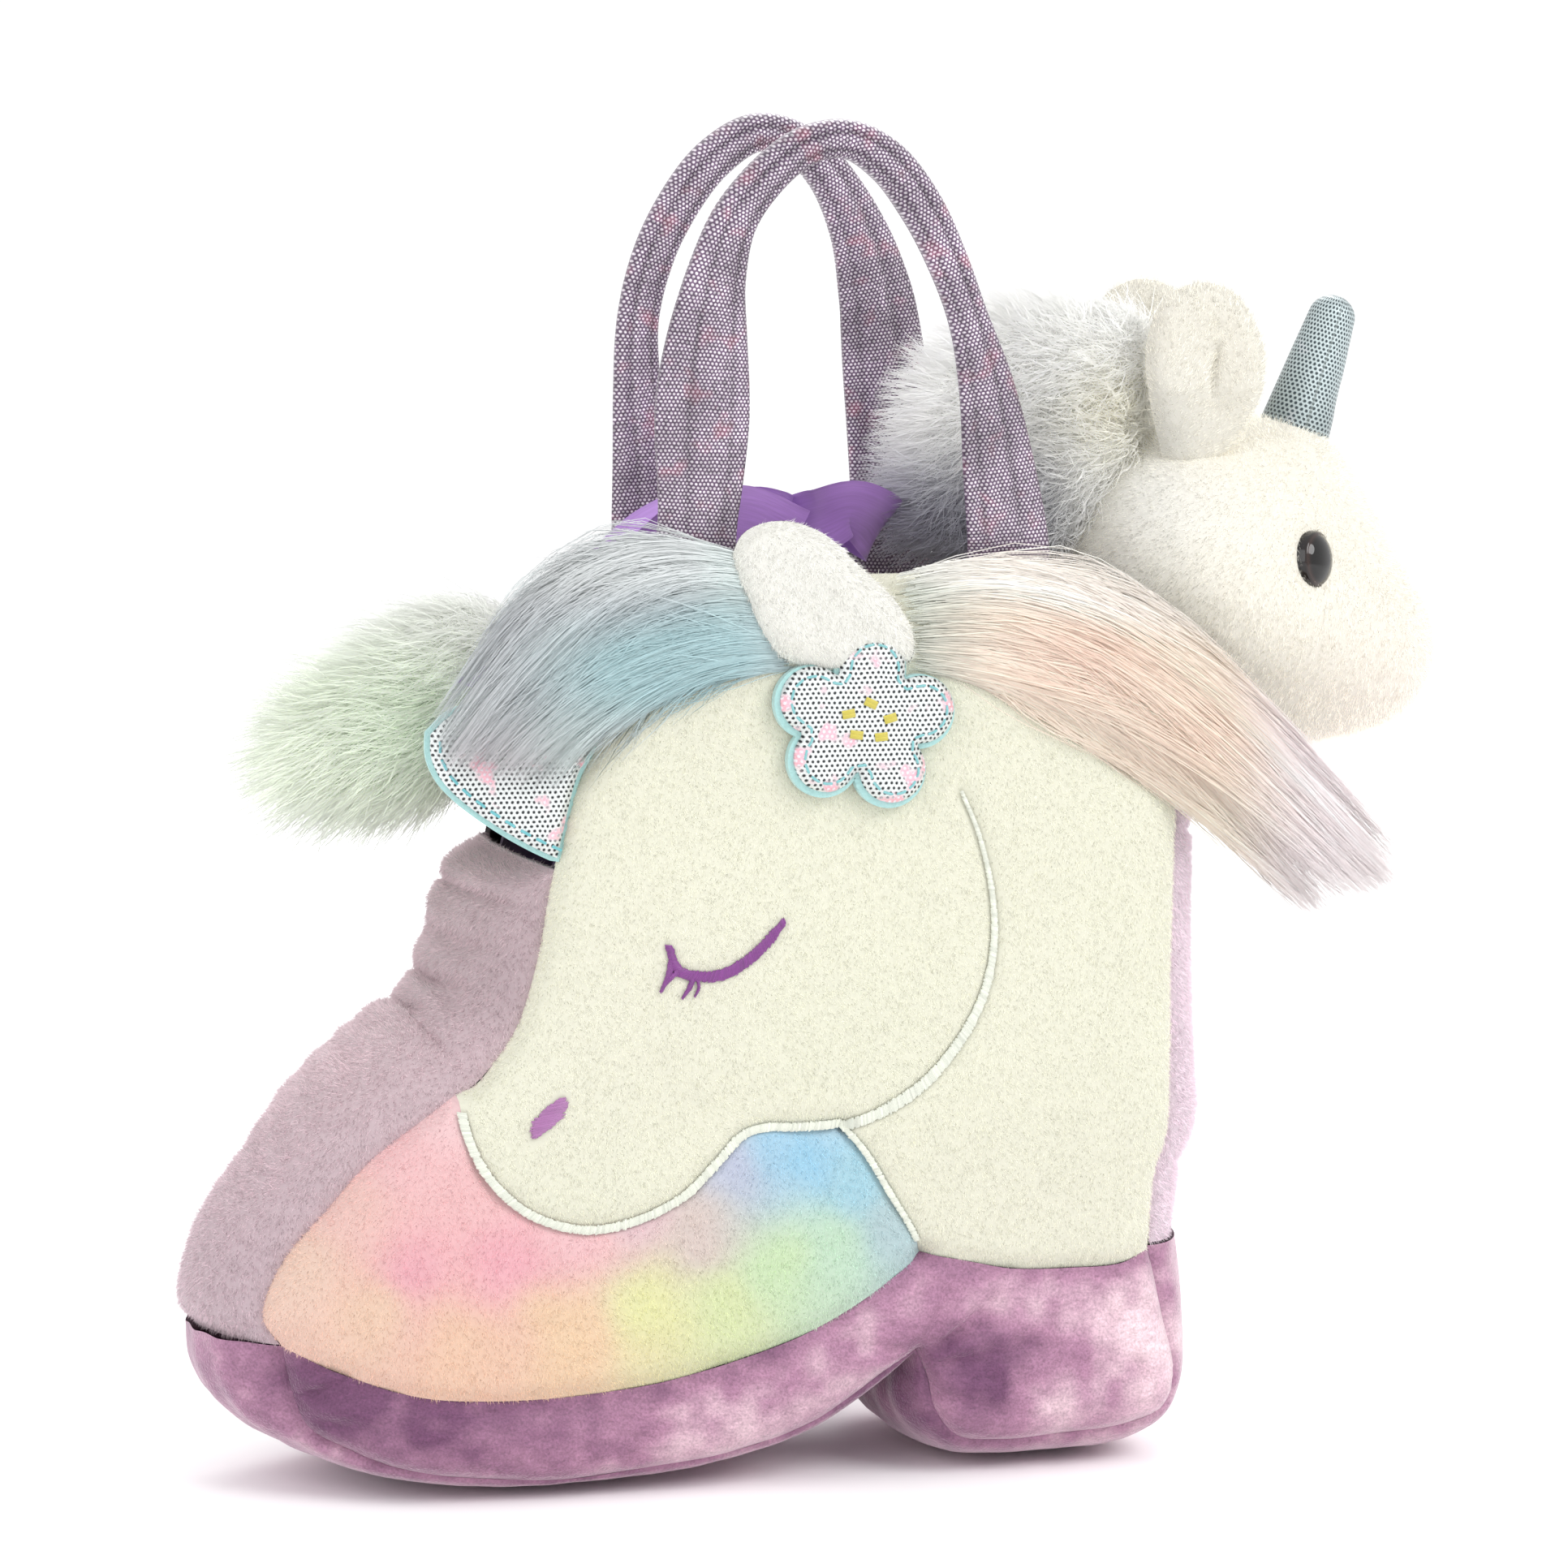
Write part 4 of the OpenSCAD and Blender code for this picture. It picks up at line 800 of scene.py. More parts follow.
def outsole():
    S = np.concatenate([SOLE, HEEL[1:]])
    O1 = spline([[-94.6, 21.6], [-94.2, 16.2], [-90.8, 10.2], [-84, 5.2], [-76, 1.6], [-66, -1.1], [-56, -2.35], [-42.6, -2.4], [-29, -2.2], [-16, -0.4], [-4, 3.1], [3, 6.8], [8, 10.6], [10.6, 13.8]])
    O2 = spline([[10.6, 13.8], [9.6, 11], [9.2, 7], [12.4, 1.6], [18, -1.6], [26, -2.4], [38, -2.4], [47, -1.6], [53, 2.4], [57, 10], [58, 20], [57, 31.2]])
    n1, n2, m = 150, 130, 36
    A = np.concatenate([evenly(SOLE, n1), evenly(HEEL, n2)[1:]])
    B = np.concatenate([evenly(O1, n1), evenly(O2, n2)[1:]])
    h = half(A[:, 0])[:, None]
    a = np.sin(np.linspace(-1, 1, m) * math.pi / 2 * 0.985)[None] / math.sin(math.pi / 2 * 0.985)
    f = (1 - a ** 2) ** 0.42
    X = plan(A[:, 0])[:, None] * (1 - f) + B[:, 0:1] * f
    Z = A[:, 1:2] * (1 - f) + B[:, 1:2] * f
    Y = a * h
    V = np.stack([X, np.broadcast_to(Y, X.shape), Z], -1)
    q = V.copy()
    w = f * (1 - 0.3 * f)
    k = 0.55 * fbm(q, 8, 91) + 0.3 * noise(q, 3.2, 92)
    arch = np.exp(-((X - 11) / 7) ** 2) * np.exp(-((Z - 12) / 9) ** 2)
    toe = np.exp(-((X + 88) / 9) ** 2)
    k = k + arch * 1.3 * np.sin(Y * 0.75 + 2.0 * noise(q, 9, 95)) + toe * 0.6 * np.sin(Y * 0.9 + 2)
    V[..., 2] = np.maximum(Z + 0.5 * w * k, -2.4)
    V[..., 0] = X + 0.4 * w * k * np.where(Z > 4, 1, 0)
    V = V.reshape(-1, 3)
    T = grid(len(A), m)
    N = normals(V, T)
    if N[(np.abs(V[:, 1]) < 6) & (V[:, 0] < 0), 2].mean() > 0:
        T, N = T[:, ::-1], -N
    # tone paints light and shade on the sole: lighter towards the middle of its width and at the heel's end as painted
    # highlight; painted shade on the toe's upper part, in the arch and on faces that look down
    tone = 0.25 * f.repeat(len(A), 0).ravel() - 0.1 - 0.5 * toe.ravel() * sstep((V[:, 2] - 4) / 8) + 0.3 * np.exp(-((V[:, 0] - 54) / 7) ** 2) - 0.8 * (arch.ravel() ** 0.7) - 0.5 * np.clip(-N[:, 2] - 0.75, 0, 1)
    C = velvet_colour(V, None, tone)
    return Soup().add(V, T, C, N).make("outsole_velvet", M_VELVET, body="bag", replaces=["outsole"], slot="crushed_velvet", fill=0.6)


outsole()


# ---------------------------------------------------------------- lining
def lining():
    zs = np.linspace(0, 1, 46)
    left = spline([[-22, 34.5], [-30, 38.6], [-37.3, 50.4], [-42.2, 66.2], [-42.9, 78], [-42.9, 89.3], [-40, 98], [-34.7, 112], [-29.4, 131.5], [-29, 134]], 0.5)
    right = spline([[39.7, 34.5], [44.8, 38.4], [46.4, 60], [47.4, 90], [47.6, 104], [45.9, 117.8], [40, 128], [34, 132], [33, 134]], 0.5)
    ang = np.linspace(0, 2 * math.pi, 160, endpoint=False)
    ex = 0.16
    cx = np.sign(np.cos(ang)) * np.abs(np.cos(ang)) ** ex
    cy = np.sign(np.sin(ang)) * np.abs(np.sin(ang)) ** ex
    side = sstep((0.93 - np.abs(cy)) / 0.25)
    top = 132.6 - side * np.where(cx < 0, 132.6 - 88.3, 132.6 - 97.2)
    Z = 34.5 + (top - 34.5)[None] * zs[:, None]
    lo = np.argsort(left[:, 1])
    xl = np.interp(Z, left[lo, 1], left[lo, 0])
    ro = np.argsort(right[:, 1])
    xr = np.interp(Z, right[ro, 1], right[ro, 0])
    w = 1 + 0.25 * np.sin(ang * 9)[None] * 0.02
    X = (xl + xr) / 2 + (xr - xl) / 2 * cx[None] * w
    ymax = 22.6 + 1.3 * sstep((zs - 0.93) / 0.07)[:, None] * np.clip((np.abs(cy) - 0.9) * 10, 0, 1)[None]
    Y = ymax * cy[None]
    V = np.stack([X, Y, Z], -1).reshape(-1, 3)
    V = V + np.stack([0 * V[:, 0], 0.25 * noise(V, 11, 4), 0 * V[:, 0]], 1)
    T = grid(len(zs), len(ang), closed=True)
    N = normals(V, T)
    mid = np.array([3, 0, 0])
    if ((V - mid) * N * [1, 1, 0]).sum(1).mean() > 0:
        T, N = T[:, ::-1], -N
    # the bottom
    k = len(V)
    V = np.concatenate([V, [[6, 0, 34.5]]])
    bt = np.stack([np.full(160, k), np.arange(160), (np.arange(160) + 1) % 160], 1)
    N = np.concatenate([N, [[0, 0, 1]]])
    T = np.concatenate([T, bt])
    U = np.stack([V[:, 0] + V[:, 1], V[:, 2]], 1)
    C = lin(92, 66, 104) * (1 + 0.15 * noise(V, 8, 7)[:, None])
    so = Soup().add(V, T, C, N, U)
    return so.make("lining_pouch_cloth", M_LINING, body="bag", replaces=["lining_pouch"], slot="purple_satin", fill=0.1)


lining()

# ---------------------------------------------------------------- embroidery
def on_face(P, lift=0.0, seed=11):
    return np.stack([plan(P[:, 0]), -(front_depth(P, seed) + lift), P[:, 1]], 1)


def satin_line(so, line, width, colour, lift=0.25, high=0.38, gap=0.27, slant=0.25, seed=1, s=-1):
    """Satin stitch: short threads side by side across a line; width is a number or one value a point."""
    r = np.random.default_rng(seed)
    L = np.linalg.norm(np.diff(line, axis=0), axis=1).sum()
    n = max(int(L / gap), 2)
    P = evenly(line, n)
    W = np.interp(np.linspace(0, 1, n), np.linspace(0, 1, len(np.atleast_1d(width))), np.atleast_1d(width)) if np.ndim(width) else np.full(n, width)
    W = W * (1 + 0.08 * r.normal(size=n))
    t = unit(np.gradient(P, axis=0))
    q = np.stack([-t[:, 1], t[:, 0]], 1) + slant * t
    across = np.array([-0.5, -0.42, 0, 0.42, 0.5])
    arch = np.array([-0.25, 0.6, 1, 0.6, -0.25]) * high
    along = np.array([-0.62, 0, 0.62]) * gap
    bow = np.array([-0.07, 0.06, -0.07])
    F = (P[:, None, None] + q[:, None, None] * (across[None, :, None, None] * W[:, None, None, None]) + t[:, None, None] * along[None, None, :, None]).reshape(-1, 2)
    y = front_depth(F, 11) + lift + (arch[:, None] + bow[None, :]).ravel()[None].repeat(n, 0).ravel()
    V = np.stack([plan(F[:, 0]), -y, F[:, 1]], 1)
    g = grid(5, 3)
    T = (np.arange(n)[:, None, None] * 15 + g[None]).reshape(-1, 3)
    N = normals(V, T)
    N = np.where((N[:, 1] > 0)[:, None], -N, N)
    c = colour * (1 + 0.07 * r.normal(size=(n, 1)))
    a = V[T[:, 0]], V[T[:, 1]], V[T[:, 2]]
    fn = np.cross(a[1] - a[0], a[2] - a[0])
    T[fn[:, 1] > 0] = T[fn[:, 1] > 0][:, ::-1]
    so.add(V, T, np.repeat(c, 15, 0), N)


SILVER = lin(226, 229, 216)
so = Soup()
satin_line(so, MUZZLE[3:], 1.35, SILVER, seed=1, lift=0.45)
satin_line(so, JAW, np.interp(np.linspace(0, 1, 60), [0, 0.25, 0.6, 0.85, 1], [0.6, 0.85, 1.55, 1.8, 1.5]), SILVER, seed=2, lift=0.42)
satin_line(so, THROAT[:-3], 1.0, SILVER, seed=3, lift=0.42)
so.make("face_outline_thread", M_THREAD, body="bag", replaces=["face_outline_stitching"], slot="silver_thread")
PURPLE = lin(126, 50, 134)
so = Soup()
satin_line(so, EYE, np.interp(np.linspace(0, 1, 40), [0, 0.15, 0.5, 0.9, 1], [1.1, 1.5, 1.75, 1.5, 0.9]), PURPLE, seed=4, lift=0.35, slant=0.5)
satin_line(so, spline([[-27.2, 79.4], [-27.6, 76.4], [-28.9, 73.4]], 0.3), [0.7, 1.1, 0.5], PURPLE, seed=5, lift=0.32, slant=0.4)
satin_line(so, spline([[-26.6, 76.0], [-28.2, 74.6], [-29.1, 73.2]], 0.3), [0.9, 0.7, 0.4], PURPLE, seed=6, lift=0.4, slant=0.4)
satin_line(so, spline([[-23.9, 75.6], [-24.6, 73.8], [-25.8, 72.1]], 0.3), [1.1, 0.8, 0.4], PURPLE, seed=7, lift=0.32, slant=0.4)
satin_line(so, spline([[-23.6, 75.4], [-23.3, 73.6], [-23.9, 72.3]], 0.3), [0.7, 0.5, 0.3], PURPLE, seed=8, lift=0.3, slant=0.4)
so.make("sleeping_eye_thread", M_THREAD, body="bag", replaces=["sleeping_eye_stitching"], slot="purple_thread")
so = Soup()
satin_line(so, spline([[-43.9, 58.0], [-45.6, 55.6], [-48.0, 52.4]], 0.3), [0.9, 2.6, 3.3, 3.0, 2.2, 0.7], lin(170, 112, 168), seed=9, lift=0.3, slant=-0.9)
so.make("nostril_thread", M_THREAD, body="bag", replaces=["nostril_stitching"], slot="purple_thread")


# ---------------------------------------------------------------- cloth patches: horn, flower, stuffed ear
def plate(outline, y_front, y_back, rise, r, step=0.9, deform=None):
    """A flat piece facing the front: its face swells by rise within r of the edge."""
    P, T = fill(outline, step)
    d = dist(P, np.concatenate([outline, outline[:1]]))
    y = y_front + rise * roll(d, r)
    if deform is not None:
        y = y + deform(P)
    V = np.stack([P[:, 0], -y, P[:, 1]], 1)
    n = len(outline)
    e = np.stack([outline[:, 0], np.full(n, -y_back), outline[:, 1]], 1)
    W = np.concatenate([V[:n], e])
    WT = np.stack([np.stack([np.arange(n), (np.arange(n) + 1) % n, np.arange(n) + n], 1), np.stack([(np.arange(n) + 1) % n, (np.arange(n) + 1) % n + n, np.arange(n) + n], 1)], 1).reshape(-1, 3)
    B = V.copy()
    B[:, 1] = -y_back
    return (V, T, P), (W, WT), (B, T[:, ::-1])


def outward(V, T, centre):
    N = normals(V, T)
    if ((V - centre) * N).sum(1).mean() < 0:
        return T[:, ::-1], -N
    return T, N


def running_stitch(so, outline, inset, y_of, colour, dash=1.7, gap=0.75, wide=0.45, closed=True):
    """Dashes of thread along an outline, inset from it."""
    L = np.concatenate([outline, outline[:1]]) if closed else outline
    t = unit(np.gradient(L, axis=0))
    if closed:
        t[0] = t[-1] = unit(L[1] - L[-2])
    n = np.stack([-t[:, 1], t[:, 0]], 1)
    area2 = (L[:-1, 0] * L[1:, 1] - L[1:, 0] * L[:-1, 1]).sum()
    Q = L + n * inset * (1 if area2 > 0 else -1)
    s = np.concatenate([[0], np.cumsum(np.linalg.norm(np.diff(Q, axis=0), axis=1))])
    k = int(s[-1] / (dash + gap))
    for i in range(k):
        a = s[-1] * i / k
        u = np.linspace(a, a + dash, 6)
        c = np.stack([np.interp(u, s, Q[:, 0]), np.interp(u, s, Q[:, 1])], 1)
        tt = unit(np.gradient(c, axis=0))
        nn = np.stack([-tt[:, 1], tt[:, 0]], 1)
        y = y_of(c) + 0.28 * np.sin(np.linspace(0.1, math.pi - 0.1, 6))
        ring = []
        for w, h in ((-0.5, -0.12), (-0.25, 0.1), (0.25, 0.1), (0.5, -0.12)):
            p = c + nn * w * wide
            ring.append(np.stack([p[:, 0], -(y + h), p[:, 1]], 1))
        V = np.stack(ring, 1).reshape(-1, 3)
        T = grid(6, 4)
        N = normals(V, T)
        if N[:, 1].mean() > 0:
            T, N = T[:, ::-1], -N
        so.add(V, T, colour, N)


TEAL = lin(176, 218, 216)
HORN = spline([[-62.4, 111.5], [-62.3, 108.2], [-60.9, 105], [-58.7, 102.5], [-55.7, 100], [-52.4, 97.7], [-49.7, 96], [-46.6, 94.3], [-43.7, 92.9]], 0.7)
HORN_R = spline([[-43.7, 92.9], [-42.3, 99], [-40.6, 105], [-38.3, 109.2], [-36.8, 113.2]], 0.9)
HORN_T = spline([[-36.8, 113.2], [-44, 115], [-52, 115.6], [-59, 114.4], [-62.4, 111.5]], 0.9)
HORN_ALL = join(HORN, HORN_R, HORN_T)


def grown(outline, g):
    L = np.concatenate([outline[-1:], outline, outline[:1]])
    t = unit(L[2:] - L[:-2])
    n = np.stack([t[:, 1], -t[:, 0]], 1)
    a = (outline[:, 0] * np.roll(outline[:, 1], -1) - np.roll(outline[:, 0], -1) * outline[:, 1]).sum()
    return outline + n * g * (1 if a > 0 else -1)


so = Soup()
(V, T, P), (W, WT), (B, BT) = plate(HORN_ALL, 25.9, 25.2, 1.0, 3.0, 0.8, deform=lambda P: 0.35 * noise(P, 9, 5) + 0.6 * np.exp(-((P[:, 0] + 52) / 9) ** 2) - 0.25)
so.add(V, T, (1, 1, 1), U=P)
T2, N2 = outward(W, WT, W.mean(0))
so.add(W, T2, lin(225, 232, 236), N2, U=W[:, [0, 2]])
so.make("face_horn_foil", M_FOIL, body="bag", replaces=["face_horn_cloth"], slot="foil_cloth", fill=0.3)
so = Soup()
(V, T, P), (W, WT), (B, BT) = plate(grown(HORN_ALL, 0.75), 25.25, 24.5, 0.15, 0.6, 0.9)
so.add(V, T, TEAL)
T2, N2 = outward(W, WT, W.mean(0))
so.add(W, T2, TEAL, N2)
so.add(B, BT, TEAL)
hs = lambda c: 25.9 + roll(dist(c, np.concatenate([HORN_ALL, HORN_ALL[:1]])), 3.0) + 0.35 * noise(c, 9, 5) + 0.6 * np.exp(-((c[:, 0] + 52) / 9) ** 2) - 0.25
running_stitch(so, HORN[::-1], -1.3, hs, lin(120, 196, 204), closed=False)
so.make("face_horn_felt_rim", M_FELT, body="bag", replaces=["face_horn_felt"], slot="teal_felt")


def lobes(petals, r, n=260):
    th = np.linspace(0, 2 * math.pi, n, endpoint=False)
    best = np.full(n, 7.6)
    for a, R in petals:
        c = R - r
        k = th - math.radians(a)
        disc = r * r - (c * np.sin(k)) ** 2
        hit = np.where((disc > 0) & (np.cos(k) > 0), c * np.cos(k) + np.sqrt(np.maximum(disc, 0)), 0)
        best = np.maximum(best, hit)
    for _ in range(3):
        best = (np.roll(best, 1) + 2 * best + np.roll(best, -1)) / 4
    return np.stack([1.8 + best * np.cos(th), 112.8 + best * np.sin(th)], 1)


PETALS = [(84, 12.4), (8, 13.3), (-63, 13.4), (-137.5, 13.4), (160.5, 13.7)]
FLOWER = spline(lobes(PETALS, 5.0), 0.6, closed=True)
FLOOP = np.concatenate([FLOWER, FLOWER[:1]])
so = Soup()
fy = lambda c: 31.6 + 1.35 * roll(dist(c, FLOOP), 2.6) + 0.25 * noise(c, 7, 3)
P, T = fill(FLOWER, 0.7)
V = np.stack([P[:, 0], -fy(P), P[:, 1]], 1)
so.add(V, T, (1, 1, 1), U=P + [7, 3])
n = len(FLOWER)
e = np.stack([FLOWER[:, 0], np.full(n, -31.0), FLOWER[:, 1]], 1)
W = np.concatenate([V[:n], e])
k = np.arange(n)
T2, N2 = outward(W, np.stack([np.stack([k, (k + 1) % n, k + n], 1), np.stack([(k + 1) % n, (k + 1) % n + n, k + n], 1)], 1).reshape(-1, 3), W.mean(0))
so.add(W, T2, (0.85, 0.88, 0.9), N2, U=W[:, [0, 2]] + [7, 3])
so.make("flower_foil", M_FOIL, body="bag", replaces=["flower_cloth"], slot="foil_cloth", fill=0.5)
so = Soup()
(V, T, P), (W, WT), (B, BT) = plate(grown(FLOWER, 0.55) + [-0.25, -0.35], 31.0, 29.4, 0.2, 0.6, 0.9)
so.add(V, T, TEAL)
T2, N2 = outward(W, WT, W.mean(0))
so.add(W, T2, TEAL, N2)
so.add(B, BT, TEAL)
running_stitch(so, FLOWER, 1.35, fy, lin(140, 200, 204), dash=1.5, gap=0.55, wide=0.4)
so.make("flower_felt_rim", M_FELT, body="bag", replaces=["flower_felt"], slot="teal_felt")
so = Soup()
for i, (x, z, a) in enumerate(((-1.5, 113.7, 10), (1.9, 115.2, -25), (4.9, 112.9, 15), (-0.3, 110.6, -8), (3.5, 110.2, 5))):
    for j in range(6):
        y0 = float(fy(np.array([[x, z]]))[0])
        off = (j - 2.5) * 0.2
        ca, sa = math.cos(math.radians(a)), math.sin(math.radians(a))
        c = np.linspace(-1, 1, 7)[:, None] * 0.98
        L = np.concatenate([x + c * ca - off * sa, -(y0 + 0.1 + 0.45 * np.sqrt(np.maximum(1 - c ** 2, 0)) * (1 - abs(j - 2.5) / 5)), z + c * sa + off * ca], 1)
        ring = []
        for w, h in ((-0.5, -0.1), (0, 0.08), (0.5, -0.1)):
            ring.append(L + np.array([-sa * w * 0.26, -h, ca * w * 0.26]))
        Vk = np.stack(ring, 1).reshape(-1, 3)
        Tk = grid(7, 3)
        Nk = normals(Vk, Tk)
        if Nk[:, 1].mean() > 0:
            Tk, Nk = Tk[:, ::-1], -Nk
        so.add(Vk, Tk, lin(214, 200, 84) * (1 + 0.06 * (j % 3 - 1)), Nk)
so.make("flower_knots_thread", M_THREAD, body="bag", replaces=["flower_knots"], slot="yellow_thread")

EAR = spline([[-18.3, 136.4], [-16.6, 140.3], [-11.3, 142], [-5, 140.3], [1.2, 134.9], [6.8, 129.4], [9.3, 123.9], [8.7, 121], [3.7, 120.2], [-6.2, 120.2], [-12.3, 123.2], [-16.2, 129.2]], 0.8, closed=True)
ELOOP = np.concatenate([EAR, EAR[:1]])
P, T = fill(EAR, 0.9)
d = dist(P, ELOOP)
mid = np.array([[-13.5, 138], [-8, 131], [0, 124]])
dip = creased(dist(P, mid), 0.5, 4.0) * np.clip(d / 5, 0, 1)
base = 29.4
yf_ = base + 0.7 + 2.9 * roll(d, 5.5) - dip + 0.3 * noise(P, 8, 2)
yb_ = base + 0.7 - 0.9 * roll(d, 3)
V1 = np.stack([P[:, 0], -yf_, P[:, 1]], 1)
V2 = np.stack([P[:, 0], -yb_, P[:, 1]], 1)
so = Soup()
EARC = np.broadcast_to(lin(252, 251, 244), V1.shape)
N1 = normals(V1, T)
so.add(V1, T, EARC * 0.98, N1)
so.add(V2, T[:, ::-1], EARC * 0.95)
p, nn, c = sample(V1, T, N1, EARC, 10, 71)
pile(so, p, nn, c, 0.95, 0.13, (0.3, 0, -1), 0.85, 72, shade=0.03)
T2_ = T[:, ::-1]
p, nn, c = sample(V2, T2_, normals(V2, T2_), EARC, 4, 73)
pile(so, p, nn, c, 0.9, 0.13, (0.3, 0, -1), 0.85, 74, shade=0.03)
so.make("face_ear_plush", M_PLUSH, blend=("bag", "face_ear", (0, -29, 125.8), (0, -29, 128.8)), replaces=["face_ear_base", "face_ear_flap"], slot="cream_minky", fill=0.6)


# ---------------------------------------------------------------- the shaggy mane on the face
def lock(name, guides, colour, seed, node_name, n=4600, body="bag", start=(0.0, 0.22), end=(0.38, 1.0), thick=4.8, segs=7, width=0.14, wild=1.3, base_y=28.6, swell=3.4, slot="mane_pile"):
    r = np.random.default_rng(seed)
    G = np.stack([evenly(spline(np.array(g)[:, [0, 2]], 0.5), 60) for g in guides])
    a = r.random(n) ** 0.95
    a = np.clip(a + 0.02 * r.normal(size=n), 0, 1) * (len(G) - 1)
    layer = r.random(n)
    t0 = start[0] + (start[1] - start[0]) * r.random(n) + 0.35 * (1 - layer) * r.random(n)
    t1 = t0 + (end[0] + (end[1] - end[0]) * r.random(n) ** 1.6) * (1 - 0.45 * t0)
    t1 = np.minimum(t1, 1.0 + 0.06 * r.random(n))
    clump = np.floor(a * 9 + 3 * r.random(n)).astype(int)
    ct = r.normal(size=(400, 4))
    k = np.linspace(0, 1, segs)
    tt = t0[:, None] + (t1 - t0)[:, None] * k[None]
    fly = (r.random(n) < 0.16)[:, None]
    am = a[:, None] + 0.42 * (k[None] ** 1.4) * ct[clump % 400, 0][:, None] * wild + 0.07 * r.normal(size=(n, 1)) * k[None] + fly * 0.7 * r.normal(size=(n, 1)) * k[None] ** 1.3
    am = np.clip(am, -0.5, len(G) - 1 + 0.4)
    i0 = np.clip(np.floor(am).astype(int), 0, len(G) - 2)
    f = am - i0
    q = np.clip(tt, 0, 1.0) * 59
    j0 = np.clip(np.floor(q).astype(int), 0, 58)
    g = q - j0

    def at(ii, jj):
        return G[ii, jj]

    P = (at(i0, j0) * (1 - f)[..., None] + at(i0 + 1, j0) * f[..., None]) * (1 - g)[..., None] + (at(i0, j0 + 1) * (1 - f)[..., None] + at(i0 + 1, j0 + 1) * f[..., None]) * g[..., None]
    over = np.maximum(tt - 1, 0)[..., None]
    tang = unit(at(i0, np.full_like(j0, 59)) - at(i0, np.full_like(j0, 54)))
    P = P + tang * over * 60
    across = am / (len(G) - 1)
    dome = np.sqrt(np.maximum(1 - (2 * across - 1) ** 2 * 0.85, 0.05))
    y = base_y + 0.4 + swell * dome * sstep(tt / 0.35) * (1 - 0.45 * sstep((tt - 0.55) / 0.45)) + thick * (layer[:, None] - 0.5) * dome * (0.35 + 0.65 * sstep(tt * 2.5))
    curl = (0.5 + 0.9 * fly) * wild * (k[None] ** 1.5) * np.sin(k[None] * (2 + 2 * r.random((n, 1))) + 6.3 * r.random((n, 1)))
    P[..., 1] += curl + 0.35 * k[None] ** 2 * r.normal(size=(n, 1)) * wild
    P[..., 0] += 0.3 * k[None] ** 2 * r.normal(size=(n, 1)) * wild
    X = np.stack([P[..., 0], -(y + 0.5 * curl + 0.4 * k[None] * ct[clump % 400, 1][:, None] * wild), P[..., 1]], -1)
    C = colour(X, tt, across, r)
    # hairs further back in the lock are painted darker: painted shade inside the lock; the other factors are random
    # tone by hair and clump
    C = C * (1 + 0.06 * r.normal(size=(n, 1, 1)) + 0.05 * ct[clump % 400, 2][:, None, None]) * (0.9 + 0.14 * layer)[:, None, None]
    up = (0.5 - across)
    F = np.stack([0.15 * r.normal(size=(n, segs)), np.repeat(np.where(layer < 0.22, 1.0, -1.0)[:, None], segs, 1), 1.0 * up + 0.3 + 0.3 * r.normal(size=(n, 1)) + 0.1 * r.normal(size=(n, segs))], -1)
    F = unit(F)
    so = Soup()
    strands(so, X, width * (0.7 + 0.6 * r.random(n)), C, F)
    return so.make(name, M_LONG, body=body, replaces=[node_name], slot=slot, gain=0.6)


def left_colour(X, tt, across, r):
    blue, grey, white, pink, teal = lin(180, 208, 212), lin(196, 199, 202), lin(236, 240, 238), lin(214, 204, 210), lin(206, 220, 218)
    x, z = X[..., 0:1], X[..., 2:3]
    b = np.exp(-(((x + 22) / 12) ** 2 + ((z - 122) / 9) ** 2))
    b = b + 0.8 * np.exp(-(((x + 36) / 10) ** 2 + ((z - 121) / 6) ** 2))
    c = mix(grey, teal, np.clip(noise(X, 9, 3)[..., None] + 0.4, 0, 1))
    c = mix(c, blue, np.clip(b * 1.2, 0, 1))
    c = mix(c, pink, sstep((-x - 40) / 14) * sstep((114 - z) / 8) * 0.9)
    c = mix(c, white, sstep((z - 129) / 6) * 0.5 + 0.25 * sstep((tt[..., None] - 0.75) / 0.3))
    return c


def right_colour(X, tt, across, r):
    peach, green, white, pink, cream = lin(252, 226, 210), lin(208, 214, 204), lin(252, 248, 244), lin(252, 240, 242), lin(248, 236, 220)
    x, z = X[..., 0:1], X[..., 2:3]
    c = mix(green, cream, sstep((x - 12) / 10))
    c = mix(c, peach, np.exp(-(((x - 34) / 15) ** 2 + ((z - 121) / 9) ** 2)) * 1.1)
    c = mix(c, peach, np.exp(-(((x - 52) / 12) ** 2 + ((z - 109) / 8) ** 2)) * 0.9)
    c = mix(c, pink, sstep((x - 56) / 14))
    c = mix(c, white, sstep((z - (132 - 0.2 * x)) / 5) * 0.6 + 0.3 * sstep((tt[..., None] - 0.8) / 0.25))
    return c


LG = [[[-10, 0, 135], [-18, 0, 137.4], [-28, 0, 138.8], [-38, 0, 136.8], [-48, 0, 130], [-55.5, 0, 121], [-61, 0, 113]],
      [[-9, 0, 129.5], [-17, 0, 131.5], [-27, 0, 131.6], [-38, 0, 128.4], [-47.5, 0, 121.5], [-54.5, 0, 115], [-59.5, 0, 109.5]],
      [[-8.5, 0, 124.5], [-16, 0, 125.4], [-26, 0, 124.4], [-34.5, 0, 121.4], [-41.5, 0, 117], [-47.5, 0, 111.8], [-51.5, 0, 107.4]],
      [[-8.5, 0, 120], [-15, 0, 119.6], [-23, 0, 118.2], [-29.5, 0, 115.8], [-34.5, 0, 112.8], [-39, 0, 109.6], [-42.5, 0, 106]]]
